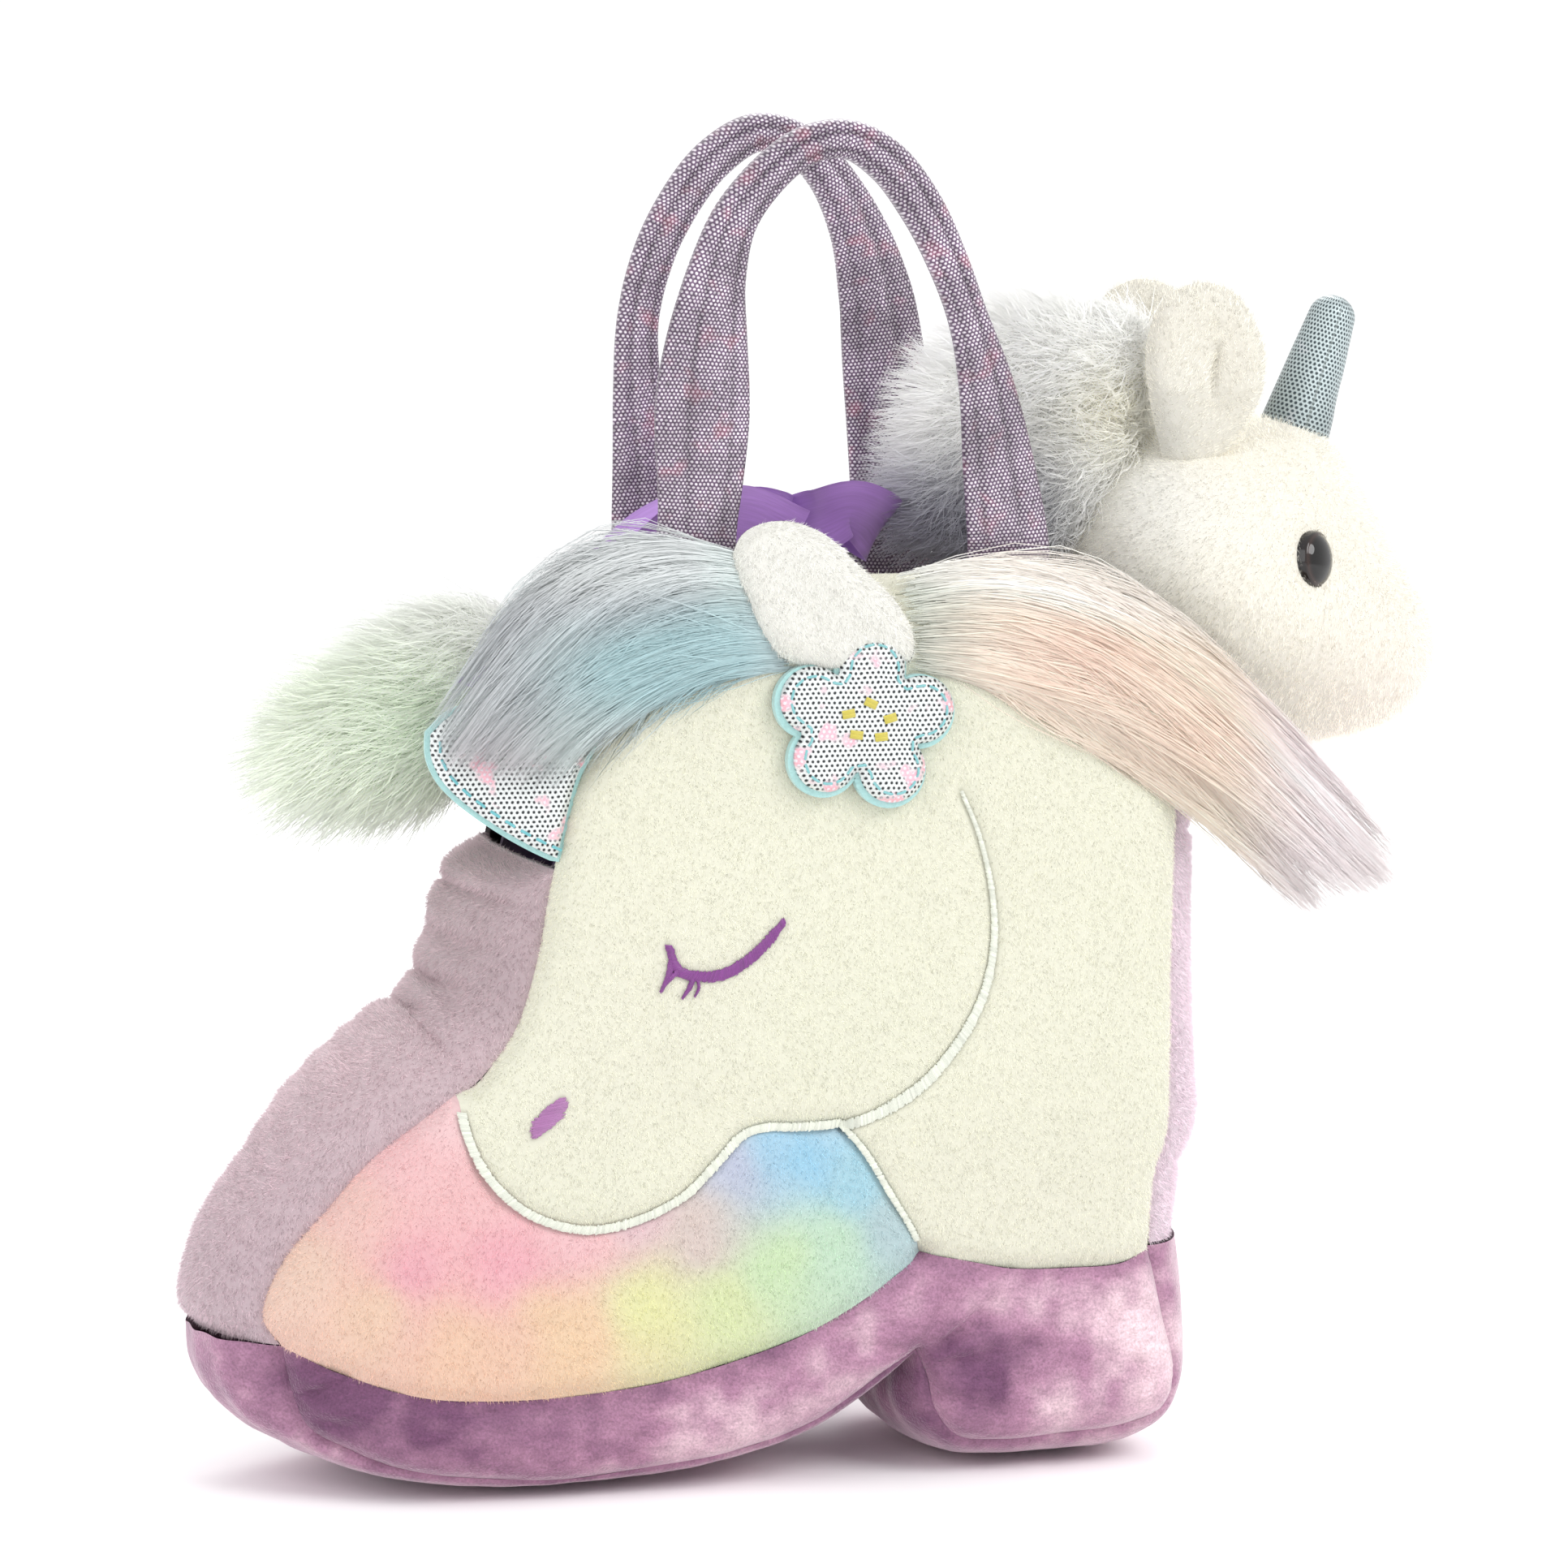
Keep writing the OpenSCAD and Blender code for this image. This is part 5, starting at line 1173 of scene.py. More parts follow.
RG = [[[6, 0, 133.6], [14, 0, 135.6], [24, 0, 135.8], [37, 0, 132.2], [50, 0, 124], [63, 0, 112.2], [76, 0, 98.6], [84, 0, 90]],
      [[7, 0, 129], [15, 0, 130.4], [25, 0, 130], [38, 0, 125.8], [51, 0, 117.4], [63, 0, 107], [75, 0, 95], [83, 0, 87.4]],
      [[8, 0, 124], [16, 0, 124.4], [26, 0, 122.8], [38, 0, 118.4], [50, 0, 110.6], [61, 0, 101.4], [72, 0, 91.4], [79, 0, 85.5]],
      [[8.5, 0, 119.6], [16, 0, 118.6], [26, 0, 115.2], [37, 0, 110.6], [48, 0, 104], [58, 0, 96.6], [67, 0, 88.8], [73, 0, 83.6]]]
lock("mane_left_lock_pile", LG, left_colour, 101, "mane_left_lock", n=8500)
lock("mane_right_lock_pile", RG, right_colour, 102, "mane_right_lock", n=10000, end=(0.4, 1.0))
so = Soup()
for x0, x1 in ((-31, -15), (12.5, 38)):
    V = np.array([[x, -29.3, z] for x in np.linspace(x0, x1, 6) for z in (124, 128, 131.5)])
    T = grid(6, 3)
    N = normals(V, T)
    if N[:, 1].mean() > 0:
        T, N = T[:, ::-1], -N
    so.add(V, T, lin(215, 220, 218), N)
so.make("mane_backing_cloth", M_PLUSH, body="bag", replaces=["mane_backing"], slot="mane_pile")


# ---------------------------------------------------------------- handles
FRONT_LOOP = [[-22.1, 137.7, 6, 1.2, 23.4], [-21.8, 142, 6, 1.25, 23.35], [-21.4, 147, 6.4, 1.3, 23.2], [-21, 158, 7.2, 1.5, 23], [-20.2, 168, 6.2, 1.9, 22.7], [-18.8, 177, 4.6, 2.4, 22.4], [-16, 185.5, 3.5, 2.8, 22.2], [-11, 192, 3.1, 3, 22.1],
              [-4.7, 196.6, 2.9, 3.1, 22], [1.5, 197.4, 2.9, 3.1, 22], [7.5, 194, 3.2, 3, 22], [12.5, 187.6, 3.2, 2.9, 22.1], [16.4, 180, 3, 2.7, 22.3], [19.6, 171.5, 3, 2.3, 22.6], [22.4, 161.5, 4.2, 1.9, 22.9], [24.3, 149.5, 5.6, 1.4, 23.2], [25.8, 137.7, 6.4, 1.2, 23.4]]
BACK_LOOP = [[-17.5, 137.7, 6.2, 1.2, 23.4], [-18.3, 148, 5.2, 1.4, 23.2], [-19.6, 159, 3.8, 1.7, 23], [-19.6, 170, 3.2, 2, 22.7], [-17.5, 179, 3.2, 2.4, 22.4], [-13.4, 187.5, 3.2, 2.8, 22.2], [-7.8, 194.6, 3.2, 3, 22],
             [-1, 198.6, 3, 3.1, 22], [5, 197.3, 3.1, 3, 22], [10.5, 192.3, 3.4, 2.8, 22], [15.2, 184, 4.4, 2.4, 22.2], [18.2, 174, 5.8, 1.9, 22.5], [19.9, 162, 6.6, 1.6, 22.9], [20.8, 150, 6.6, 1.3, 23.2], [21.2, 137.7, 6.4, 1.2, 23.4]]


def strap(name, L, s, body, nodes, seed):
    first, last = L[0], L[-1]
    rows = [[first[0], 119.5, first[2], 0.35, 23.5], [first[0], 128, first[2], 0.4, 23.5], [first[0], 133.5, first[2], 0.7, 23.5]] + L + [[last[0], 133.5, last[2], 0.7, 23.5], [last[0], 128, last[2], 0.4, 23.5], [last[0], 119.5, last[2], 0.35, 23.5]]
    R = spline(rows, 1.0)
    n = len(R)
    c = R[:, :2]
    t = unit(np.gradient(c, axis=0))
    nr = np.stack([-t[:, 1], t[:, 0]], 1)
    m = 40
    th = np.linspace(0, 2 * math.pi, m, endpoint=False)
    cs, sn = np.cos(th), np.sin(th)
    prof = np.sign(sn) * np.abs(sn) ** 0.8
    z = c[:, 1:2]
    flat = sstep((z - 134) / 6)
    groove = 1 - flat * 0.34 * np.exp(-((cs[None] - 0.34) / 0.12) ** 2)
    dents = 1 - flat * 0.28 * np.exp(-((cs[None] + 0.62) / 0.1) ** 2)
    side = np.concatenate([[0], np.cumsum(np.linalg.norm(np.diff(c, axis=0), axis=1))])
    crum = 0.15 * flat * noise(np.stack([np.broadcast_to(side[:, None], (n, m)), np.broadcast_to(cs[None] * 6, (n, m)), np.broadcast_to(sn[None] * 3, (n, m))], -1), 4.5, seed)
    twist = flat * 0.18 * np.sin(side / side[-1] * 2 * math.pi + seed)[:, None]
    w = R[:, 2:3] * cs[None]
    d = (R[:, 3:4] * prof[None]) * groove * dents * (1 + 0.2 * flat) + crum + 0.4 * twist * w
    X = c[:, 0:1] + nr[:, 0:1] * w
    Z = c[:, 1:2] + nr[:, 1:2] * w
    Y = s * (R[:, 4:5] + d)
    V = np.stack([X, Y, Z], -1).reshape(-1, 3)
    T = grid(n, m, closed=True)
    N = normals(V, T)
    ax = np.stack([np.broadcast_to(c[:, 0:1], (n, m)), np.broadcast_to(s * R[:, 4:5], (n, m)), np.broadcast_to(c[:, 1:2], (n, m))], -1).reshape(-1, 3)
    if ((V - ax) * N).sum(1).mean() < 0:
        T, N = T[:, ::-1], -N
    U = np.stack([(w + 0 * Y), np.broadcast_to(side[:, None], (n, m))], -1)
    U[..., 0] += np.where(sn[None] > 0, 0, 40)
    # painted shade: darker along the groove and the dent line; the noise is the cloth's own random tone
    tone = 0.9 + 0.2 * noise(V, 13, seed) - 0.3 * ((np.exp(-((cs[None] - 0.34) / 0.07) ** 2) + np.exp(-((cs[None] + 0.62) / 0.07) ** 2)) * flat).reshape(-1)
    so = Soup().add(V, T, np.clip(tone[:, None] * np.array([1, 0.97, 1.0]), 0, 1), N, U.reshape(-1, 2))
    return so.make(name, M_PURPLE, blend=("bag", body, (0, s * 23.4, 134.7), (0, s * 23.4, 138.0)), replaces=nodes, slot="purple_foil_cloth", fill=0.5)


strap("front_handle_cloth", FRONT_LOOP, -1, "front_handle", ["front_handle_strap", "front_handle_tabs"], 5)
strap("back_handle_cloth", BACK_LOOP, 1, "back_handle", ["back_handle_strap", "back_handle_tabs"], 6)


# ---------------------------------------------------------------- the unicorn: soft bodies from joined spheres
def ball(n=220):
    k = np.arange(n) + 0.5
    ph, th = np.arccos(1 - 2 * k / n), math.pi * (1 + 5 ** 0.5) * k
    return np.stack([np.cos(th) * np.sin(ph), np.sin(th) * np.sin(ph), np.cos(ph)], 1)


BALL = ball()


def soft_body(groups, voxel=1.1, smooth=6):
    """One smooth closed surface round several hulls of spheres [x, y, z, r]: points and triangles in millimetres."""
    bm = bmesh.new()
    for g in groups:
        vs = [bm.verts.new(tuple(p)) for s in g for p in (np.array(s[:3]) + BALL * s[3])]
        out = bmesh.ops.convex_hull(bm, input=vs)
        bmesh.ops.delete(bm, geom=[e for e in set(out["geom_interior"]) | set(out["geom_unused"]) if isinstance(e, bmesh.types.BMVert)], context="VERTS")
    me = bpy.data.meshes.new("tmp")
    bm.to_mesh(me)
    bm.free()
    ob = bpy.data.objects.new("tmp", me)
    bpy.context.scene.collection.objects.link(ob)
    r = ob.modifiers.new("r", "REMESH")
    r.mode, r.voxel_size = "VOXEL", voxel
    s = ob.modifiers.new("s", "SMOOTH")
    s.iterations, s.factor = smooth, 0.5
    t = ob.modifiers.new("t", "TRIANGULATE")
    dg = bpy.context.evaluated_depsgraph_get()
    ev = ob.evaluated_get(dg).to_mesh()
    V = np.zeros(len(ev.vertices) * 3, np.float32)
    ev.vertices.foreach_get("co", V)
    T = np.zeros(len(ev.loops), np.int32)
    ev.loops.foreach_get("vertex_index", T)
    V, T = V.reshape(-1, 3).astype(float), T.reshape(-1, 3)
    bpy.data.objects.remove(ob)
    bpy.data.meshes.remove(me)
    return V, T


def part_of(V, T, N, C, keep):
    """The triangles chosen by keep, with only their own points."""
    t = T[keep]
    used, inv = np.unique(t, return_inverse=True)
    return V[used], inv.reshape(-1, 3), N[used], C[used]


BARREL = [[-19, 0, 115, 17], [31, 0, 113, 17]]
NECK = [[34, 0, 112, 16.5], [54.5, 0, 123.5, 15.5], [61, 0, 113.5, 11]]
HEAD = [[62, 0, 131, 23], [74, 0, 139, 16.2], [88.0, 0, 119.4, 13.8], [72, 0, 117, 14]]
FUR = lin(251, 247, 235)
SV, ST = soft_body([BARREL, NECK, HEAD], 1.25, 5)
SV = SV + 0.25 * normals(SV, ST) * fbm(SV, 12, 301)[:, None]
SN = normals(SV, ST)
ju = np.array([math.sin(math.radians(42)), 0, math.cos(math.radians(42))])
neck_at = np.array([62, 0, 131]) - 9.5 * ju


def fur_colour(V):
    peach = np.exp(-(((V[:, 0] - 92) / 16) ** 2 + ((V[:, 2] - 112) / 14) ** 2))[:, None]
    # painted shade: grey marks a grey patch on the neck by the mane
    grey = np.exp(-(((V[:, 0] - 50) / 10) ** 2 + ((V[:, 2] - 146) / 14) ** 2))[:, None]
    c = mix(FUR, lin(252, 244, 234), peach * 0.8)
    c = mix(c, lin(240, 240, 236), grey * 0.6)
    return c * (1 + 0.012 * noise(V, 10, 5)[:, None])


SC = fur_colour(SV)
cen = SV[ST].mean(1)
ahead = ((cen - neck_at) @ ju) > 0
for side_, s, tag in ((-1, "right", 0), (1, "left", 1)):
    for head_, nm in ((False, "body"), (True, "head")):
        keep = (np.sign(cen[:, 1] + 1e-9) == side_) & (ahead == head_)
        v, t, n_, c_ = part_of(SV, ST, SN, SC, keep)
        so = Soup().add(v, t, c_ * 0.98, n_)
        p, nn, cc = sample(v, t, n_, c_, 8.5 if head_ else 5, 310 + tag)
        lean = unit(np.stack([-0.6 - 0 * p[:, 0], 0 * p[:, 0], -0.6 + 0 * p[:, 0]], 1))
        pile(so, p, nn, cc, 1.05, 0.12, lean, 0.78, 320 + tag, shade=0.02)
        so.make(f"unicorn_{nm}_{s}_fur", M_PLUSH, blend=("unicorn", "unicorn_head", neck_at + SH * 0 - 7 * ju, neck_at + 9 * ju), replaces=[f"unicorn_{nm}_{s}_skin"], slot="white_plush", fill=0.8, gain=0.71)


def leg(name, x, y, r, node_name):
    z0, z1 = 35.2, 108.0
    zs = np.concatenate([z0 + r * 0.75 * (1 - np.cos(np.linspace(0, math.pi / 2, 8))), np.linspace(z0 + r * 0.75, z1, 40)[1:]])
    rr = np.concatenate([np.maximum(r * np.sin(np.linspace(0, math.pi / 2, 8)), 0.05), np.full(39, r)]) * (1 + 0.03 * np.sin(zs * 0.5))
    th = np.linspace(0, 2 * math.pi, 40, endpoint=False)
    V = np.stack([x + rr[:, None] * np.cos(th)[None], y + rr[:, None] * np.sin(th)[None], np.broadcast_to(zs[:, None], (len(zs), 40))], -1).reshape(-1, 3)
    T = grid(len(zs), 40, closed=True)
    N = normals(V, T)
    ax = V * [0, 0, 1] + [x, y, 0]
    if ((V - ax) * N).sum(1).mean() < 0:
        T, N = T[:, ::-1], -N
    C = np.broadcast_to(FUR, V.shape)
    so = Soup().add(V, T, C * 0.97, N)
    p, nn, c = sample(V, T, N, C, 5, 331)
    pile(so, p, nn, c, 1.1, 0.15, (0, 0, -1), 0.75, 332, shade=0.03)
    return so.make(name, M_PLUSH, body="unicorn", replaces=[node_name], slot="white_plush", fill=0.8, gain=0.71)


leg("unicorn_left_foreleg_fur", 30, 9.2, 7.0, "unicorn_left_foreleg")
leg("unicorn_right_foreleg_fur", 30, -9.2, 7.0, "unicorn_right_foreleg")
leg("unicorn_left_hindleg_fur", -14, 9.2, 6.8, "unicorn_left_hindleg")
leg("unicorn_right_hindleg_fur", -14, -9.2, 6.8, "unicorn_right_hindleg")


# ---------------------------------------------------------------- long fur over a soft base
def shaggy(name, groups, length, flow, colour, density, seed, nodes, body=None, blend=None, width=0.15, segs=6, lift=0.75, keep=None, droop=0.0, slot="shaggy_pile", clump=3.2, frizz=0.9):
    V, T = soft_body(groups, 1.5, 5)
    N = normals(V, T)
    C = colour(V, N)
    so = Soup().add(V, T, C, N)
    k_ = None if keep is None else keep(V[T].mean(1)).astype(float)
    P, n_, c = sample(V, T, N, C, density, seed, keep=k_)
    r = np.random.default_rng(seed)
    m = len(P)
    L = length(P) * (0.6 + 0.5 * r.random(m))
    f = flow(P, n_)
    wav = np.stack([noise(P, clump, seed + 1), noise(P, clump, seed + 2), noise(P, clump, seed + 3)], 1)
    k = np.linspace(0, 1, segs)[None, :, None]
    d0 = unit(n_ * lift + f * (1 - lift) + 0.25 * r.normal(size=(m, 3)))
    d1 = unit(n_ * lift * 0.35 + f + 0.55 * wav * frizz + 0.22 * r.normal(size=(m, 3)))
    X = P[:, None] - 0.4 * n_[:, None] + L[:, None, None] * (d0[:, None] * (k - 0.5 * k ** 2) + d1[:, None] * 0.5 * k ** 2 * 1.25)
    X[..., 2] -= droop * (L[:, None] * (k[..., 0] ** 2))
    # each hair is painted darker at its root and lighter at its tip: painted shade deep in the fur; the rest is random
    # tone
    col = c[:, None] * (0.94 + 0.12 * k) * (1 + 0.05 * r.normal(size=(m, 1, 1)) + 0.05 * wav[:, None, :1])
    F = unit(n_[:, None] * 0.8 + 0.35 * d1[:, None] + 0.28 * r.normal(size=(m, 1, 3)) + 0 * k)
    strands(so, X, width * (0.7 + 0.6 * r.random(m)), col, F)
    return so.make(name, M_LONG, body=body, blend=blend, replaces=nodes, slot=slot, gain=0.64)


def mane_colour(V, N):
    c = np.broadcast_to(lin(252, 252, 249), V.shape)
    # painted shade: the mane's lower part towards the back is painted grey
    low = sstep((157 - V[:, 2]) / 16) * sstep((44 - V[:, 0]) / 12)
    c = mix(c, lin(172, 172, 182), (low * 0.95)[:, None])
    nape = np.exp(-(((V[:, 0] - 48) / 8) ** 2 + ((V[:, 2] - 156) / 8) ** 2))
    return mix(c, lin(240, 236, 216), (nape * 0.6)[:, None])


shaggy("unicorn_neck_mane_pile", [[[24, 0, 143, 7], [29, 0, 156, 9], [38, 0, 163, 8.5], [49, 0, 163, 8]], [[36, 0, 140, 9], [44, 0, 152, 10]]],
       lambda P: 8.5 + 0 * P[:, 0], lambda P, n: np.stack([-0.65 + 0 * P[:, 0], 0 * P[:, 0], -0.15 + 0 * P[:, 0]], 1), mane_colour, 5.0, 401, ["unicorn_neck_mane"], blend=("unicorn", "unicorn_head", neck_at + SH * 0 - 7 * ju, neck_at + 9 * ju), lift=0.72)


def tail_colour(V, N):
    c = np.broadcast_to(lin(232, 238, 224), V.shape)
    # whiter towards the top; painted shade, greyer, towards the bottom; the green patch is the fur's own colour
    c = mix(c, lin(238, 240, 234), sstep((V[:, 2] - 114) / 14)[:, None])
    c = mix(c, lin(206, 214, 208), (sstep((104 - V[:, 2]) / 10) * 0.8)[:, None])
    return mix(c, lin(218, 232, 210), (np.exp(-(((V[:, 0] + 58) / 10) ** 2 + ((V[:, 2] - 112) / 8) ** 2)) * 0.6)[:, None])


shaggy("unicorn_tail_pile", [[[-45, 0, 118, 7], [-51, 0, 117, 11], [-61, 0, 110.5, 11], [-73, 0, 106.5, 6.5]]],
       lambda P: 8.5 + 2.5 * sstep((-P[:, 0] - 45) / 25), lambda P, n: np.stack([-0.9 + 0 * P[:, 0], 0 * P[:, 0], -0.25 + 0 * P[:, 0]], 1), tail_colour, 5.0, 402, ["unicorn_tail"], body="unicorn_tail_body", lift=0.6, droop=0.05)


# ---------------------------------------------------------------- ears, horn and eyes
EARP = spline([[56.5, 146], [52.5, 154], [50.2, 162.4], [50.6, 168.5], [53.2, 173.6], [58.6, 176.0], [64.0, 174.6], [67.6, 170.0], [69.2, 164.7], [68.6, 158.5], [66, 152.5], [62.5, 146]], 0.8, closed=True)
for s, nm in ((-1, "right"), (1, "left")):
    P, T = fill(EARP, 0.85)
    d = dist(P, np.concatenate([EARP, EARP[:1]]))
    cre = np.array([[61.4, 166.5], [60.7, 163], [60.5, 159.5]])
    bowl = 0.55 * np.exp(-(((P[:, 0] - 61.5) / 3.4) ** 2)) * sstep((172 - P[:, 1]) / 4) * sstep((P[:, 1] - 153) / 5) * np.clip(d / 3, 0, 1)
    cut = 1.3 * np.exp(-(dist(P, cre) / 0.5) ** 2) * sstep((168 - P[:, 1]) / 3) * sstep((P[:, 1] - 157) / 3)
    bend = 0.0035 * (P[:, 0] - 60) ** 2 - 0.36 * np.maximum(160 - P[:, 1], 0)
    yf_ = 14.2 + 2.7 * roll(d, 4.5) - bowl - cut + bend
    yb_ = 14.2 - 2.2 * roll(d, 4.5) + bend
    so = Soup()
    for y, tt in ((yf_, T if s < 0 else T[:, ::-1]), (yb_, T[:, ::-1] if s < 0 else T)):
        V = np.stack([P[:, 0], s * y, P[:, 1]], 1)
        N = normals(V, tt)
        C = fur_colour(V)
        # painted shade in the ear's slit, on the front face only
        C = C * (1 - 0.08 * np.clip(cut / 1.5, 0, 1) * (y is yf_))[:, None]
        so.add(V, tt, C * 0.98, N)
        p, nn, c = sample(V, tt, N, C, 8, 341)
        pile(so, p, nn, c, 1.15, 0.14, (0, 0, 1), 0.75, 342, shade=0.03)
    so.make(f"unicorn_{nm}_ear_fur", M_PLUSH, body="unicorn_head", replaces=[f"unicorn_{nm}_ear"], slot="white_plush", fill=0.6, gain=0.62)

tilt = math.radians(19)
ex, ez = np.array([math.cos(tilt), 0, -math.sin(tilt)]), np.array([math.sin(tilt), 0, math.cos(tilt)])
hz = np.concatenate([np.linspace(-3, 20.3, 60), 20.3 + 3.45 * np.sin(np.linspace(0.05, math.pi / 2, 14))])
hr = np.concatenate([np.interp(np.linspace(-3, 20.3, 60), [-3, 20.3], [6.0, 3.62]), 3.62 * np.cos(np.linspace(0.05, math.pi / 2 * 0.995, 14))])
th = np.linspace(0, 2 * math.pi, 72, endpoint=False)
A_, Z_ = np.meshgrid(th, hz)
R_ = hr[:, None] * (1 + 0.03 * noise(np.stack([np.cos(A_) * 5, np.sin(A_) * 5, Z_], -1), 4.5, 9)) + 0 * A_
V = np.array([78.6, 0, 151]) + (R_ * np.cos(A_))[..., None] * ex + (R_ * np.sin(A_))[..., None] * np.array([0, 1.0, 0]) + Z_[..., None] * ez
T = grid(len(hz), 72, closed=True)
V = V.reshape(-1, 3)
N = normals(V, T)
axv = (np.array([78.6, 0, 151]) + Z_[..., None] * ez).reshape(-1, 3)
if ((V - axv) * N).sum(1).mean() < 0:
    T, N = T[:, ::-1], -N
U = np.stack([(A_ + math.pi / 2) % (2 * math.pi) * 4.8, Z_], -1).reshape(-1, 2)
# a little lighter towards the tip, with painted shade in a band at the root where the horn meets the head
tone = (0.9 + 0.12 * sstep((Z_ - 4) / 14) - 0.14 * np.exp(-((Z_ - 3) / 3.0) ** 2)).reshape(-1, 1)
Soup().add(V, T, tone * np.array([[1, 1, 1.0]]), N, U).make("unicorn_horn_foil", M_HORNFOIL, body="unicorn_head", replaces=["unicorn_horn_cloth"], slot="foil_cloth", fill=0.9)


def glass():
    m, nt, b = principled("eye_plastic", Roughness=0.06)
    b.inputs["Specular IOR Level"].default_value = 0.35
    b.inputs["Coat Weight"].default_value = 0.35
    b.inputs["Coat Roughness"].default_value = 0.02
    col = node(nt, "ShaderNodeAttribute", attribute_name="Col")
    nt.links.new(col.outputs["Color"], b.inputs["Base Color"])
    return m


M_EYE = glass()
for s, nm in ((-1, "right"), (1, "left")):
    out = unit(np.array([0.66, s * 0.745, 0.08]))
    at = np.array([76.2, s * 17.7, 134.0])
    e1 = unit(np.cross(out, [0, 0, 1.0]))
    e2 = np.cross(e1, out)
    rr = np.linspace(0.001, 1, 22)
    th = np.linspace(0, 2 * math.pi, 56, endpoint=False)
    R_, A_ = np.meshgrid(rr, th, indexing="ij")
    hgt = 2.9 * np.sqrt(np.maximum(1 - R_ ** 2.2, 0)) - 0.6 + 0.5 * np.exp(-((R_ - 0.93) / 0.03) ** 2)
    V = (at + out * hgt[..., None] + e1 * (4.35 * R_ * np.cos(A_))[..., None] + e2 * (4.55 * R_ * np.sin(A_))[..., None]).reshape(-1, 3)
    T = grid(22, 56, closed=True)
    N = normals(V, T)
    if (N @ out).mean() < 0:
        T, N = T[:, ::-1], -N
    ring = np.exp(-((R_ - 0.86) / 0.06) ** 2).reshape(-1, 1)
    C = mix(lin(10, 7, 8), lin(66, 44, 38), ring * 0.6)
    Soup().add(V, T, C, N).make(f"unicorn_{nm}_eye_dome", M_EYE, body="unicorn_head", replaces=[f"unicorn_{nm}_eye"], slot="eye_plastic")


# ---------------------------------------------------------------- satin ribbon and bow
VIOLET = lin(184, 138, 216)


def ribbon(path, wide, width=10.0, bow=0.4, seed=1, cut=0.0, cols=9, tone=1.0):
    """One layer of ribbon: path (k, 3), wide the direction of its width at each point; cut slants its end."""
    P = spline(np.array(path, float), 0.6)
    W = unit(np.stack([np.interp(np.linspace(0, 1, len(P)), np.linspace(0, 1, len(wide)), np.array(wide, float)[:, k]) for k in range(3)], 1))
    t = unit(np.gradient(P, axis=0))
    W = unit(W - (W * t).sum(1, keepdims=True) * t)
    nr = np.cross(t, W)
    a = np.linspace(-1, 1, cols)
    s = np.concatenate([[0], np.cumsum(np.linalg.norm(np.diff(P, axis=0), axis=1))])
    V = P[:, None] + W[:, None] * (a[None, :, None] * width / 2) + nr[:, None] * (bow * (1 - a ** 2))[None, :, None]
    V = V + nr[:, None] * (0.25 * noise(np.stack([np.broadcast_to(s[:, None], (len(s), cols)), np.broadcast_to(a[None] * 3, (len(s), cols)), np.full((len(s), cols), seed * 7.0)], -1), 5, seed))[..., None]
    V = V + t[:, None] * (cut * a[None, :, None] * sstep((s - s[-1] + 7) / 7)[:, None, None])
    U = np.stack([np.broadcast_to(s[:, None], (len(s), cols)), np.broadcast_to(a[None] * width / 2, (len(s), cols))], -1)
    C = VIOLET * tone * (1 + 0.12 * noise(V, 6, seed))[..., None] * (1 - 0.12 * (np.abs(a) > 0.9))[None, :, None]
    return V.reshape(-1, 3), grid(len(P), cols), C.reshape(-1, 3), U.reshape(-1, 2), float(s[-1])


def ribbon_piece(name, layers, nodes, body="unicorn"):
    so = Soup()
    for V, T, C, U, _ in layers:
        so.add(V, T, C, None, U)
    ob = so.make(name, M_SATIN, body=body, replaces=nodes, slot="satin_ribbon")
    return ob


LT = [[-2, -4.4, 137.5], [-12, -9, 141.4], [-21, -13, 139.8], [-31, -15, 131.6], [-41, -15.6, 123.6], [-51, -15.6, 116.4]]
tv = unit(np.gradient(np.array(LT, float), axis=0))
r1 = ribbon(LT, np.stack([-tv[:, 2], 0.25 + 0 * tv[:, 0], tv[:, 0]], 1), cut=-3.6, seed=3)
ribbon_piece("bow_left_tail_ribbon", [r1], ["bow_left_tail"])
RT = [[-2, 4.4, 137], [-11, 9, 140.3], [-19, 13, 137.3], [-27, 15, 129.8], [-35, 15.6, 121.6]]
tv = unit(np.gradient(np.array(RT, float), axis=0))
r2 = ribbon(RT, np.stack([-tv[:, 2], -0.25 + 0 * tv[:, 0], tv[:, 0]], 1), cut=3.6, seed=4)
ribbon_piece("bow_right_tail_ribbon", [r2], ["bow_right_tail"])
RL = [[-0.6, -1.5, 139.2], [2.5, -4.6, 140.6], [6.2, -6.2, 142.3], [10, -4.8, 140.8], [12.2, -1.2, 138.8], [11.6, 2.4, 138.6], [7.6, 4.4, 140.8], [3, 3.2, 140.4], [-0.6, 1.2, 139.2]]
r3 = ribbon(RL, [[-0.1, -0.2, 1], [0.1, -0.45, 0.9], [0.25, -0.5, 0.85], [0.35, -0.5, 0.8], [0.4, -0.5, 0.8], [0.3, -0.5, 0.85], [0.1, -0.45, 0.9], [0, -0.2, 1]], width=10, seed=5)
ribbon_piece("bow_right_loop_ribbon", [r3], ["bow_right_loop"])
LL = [[-2.4, -1.5, 139], [-5.5, -4.4, 140.2], [-9, -5.6, 141], [-13, -4.2, 140], [-14.6, -0.6, 138.6], [-13.4, 3, 138.6], [-9, 4.6, 140.2], [-5.4, 3.4, 140], [-2.4, 1.2, 139]]
r4 = ribbon(LL, [[0.1, -0.2, 1], [0, -0.3, 1], [-0.1, -0.35, 1], [-0.2, -0.35, 0.95], [-0.2, -0.3, 0.95], [-0.1, -0.3, 1], [0, -0.2, 1]], width=10, seed=6)
ribbon_piece("bow_left_loop_ribbon", [r4], ["bow_left_loop"])
ang = np.linspace(0, 2 * math.pi, 21)
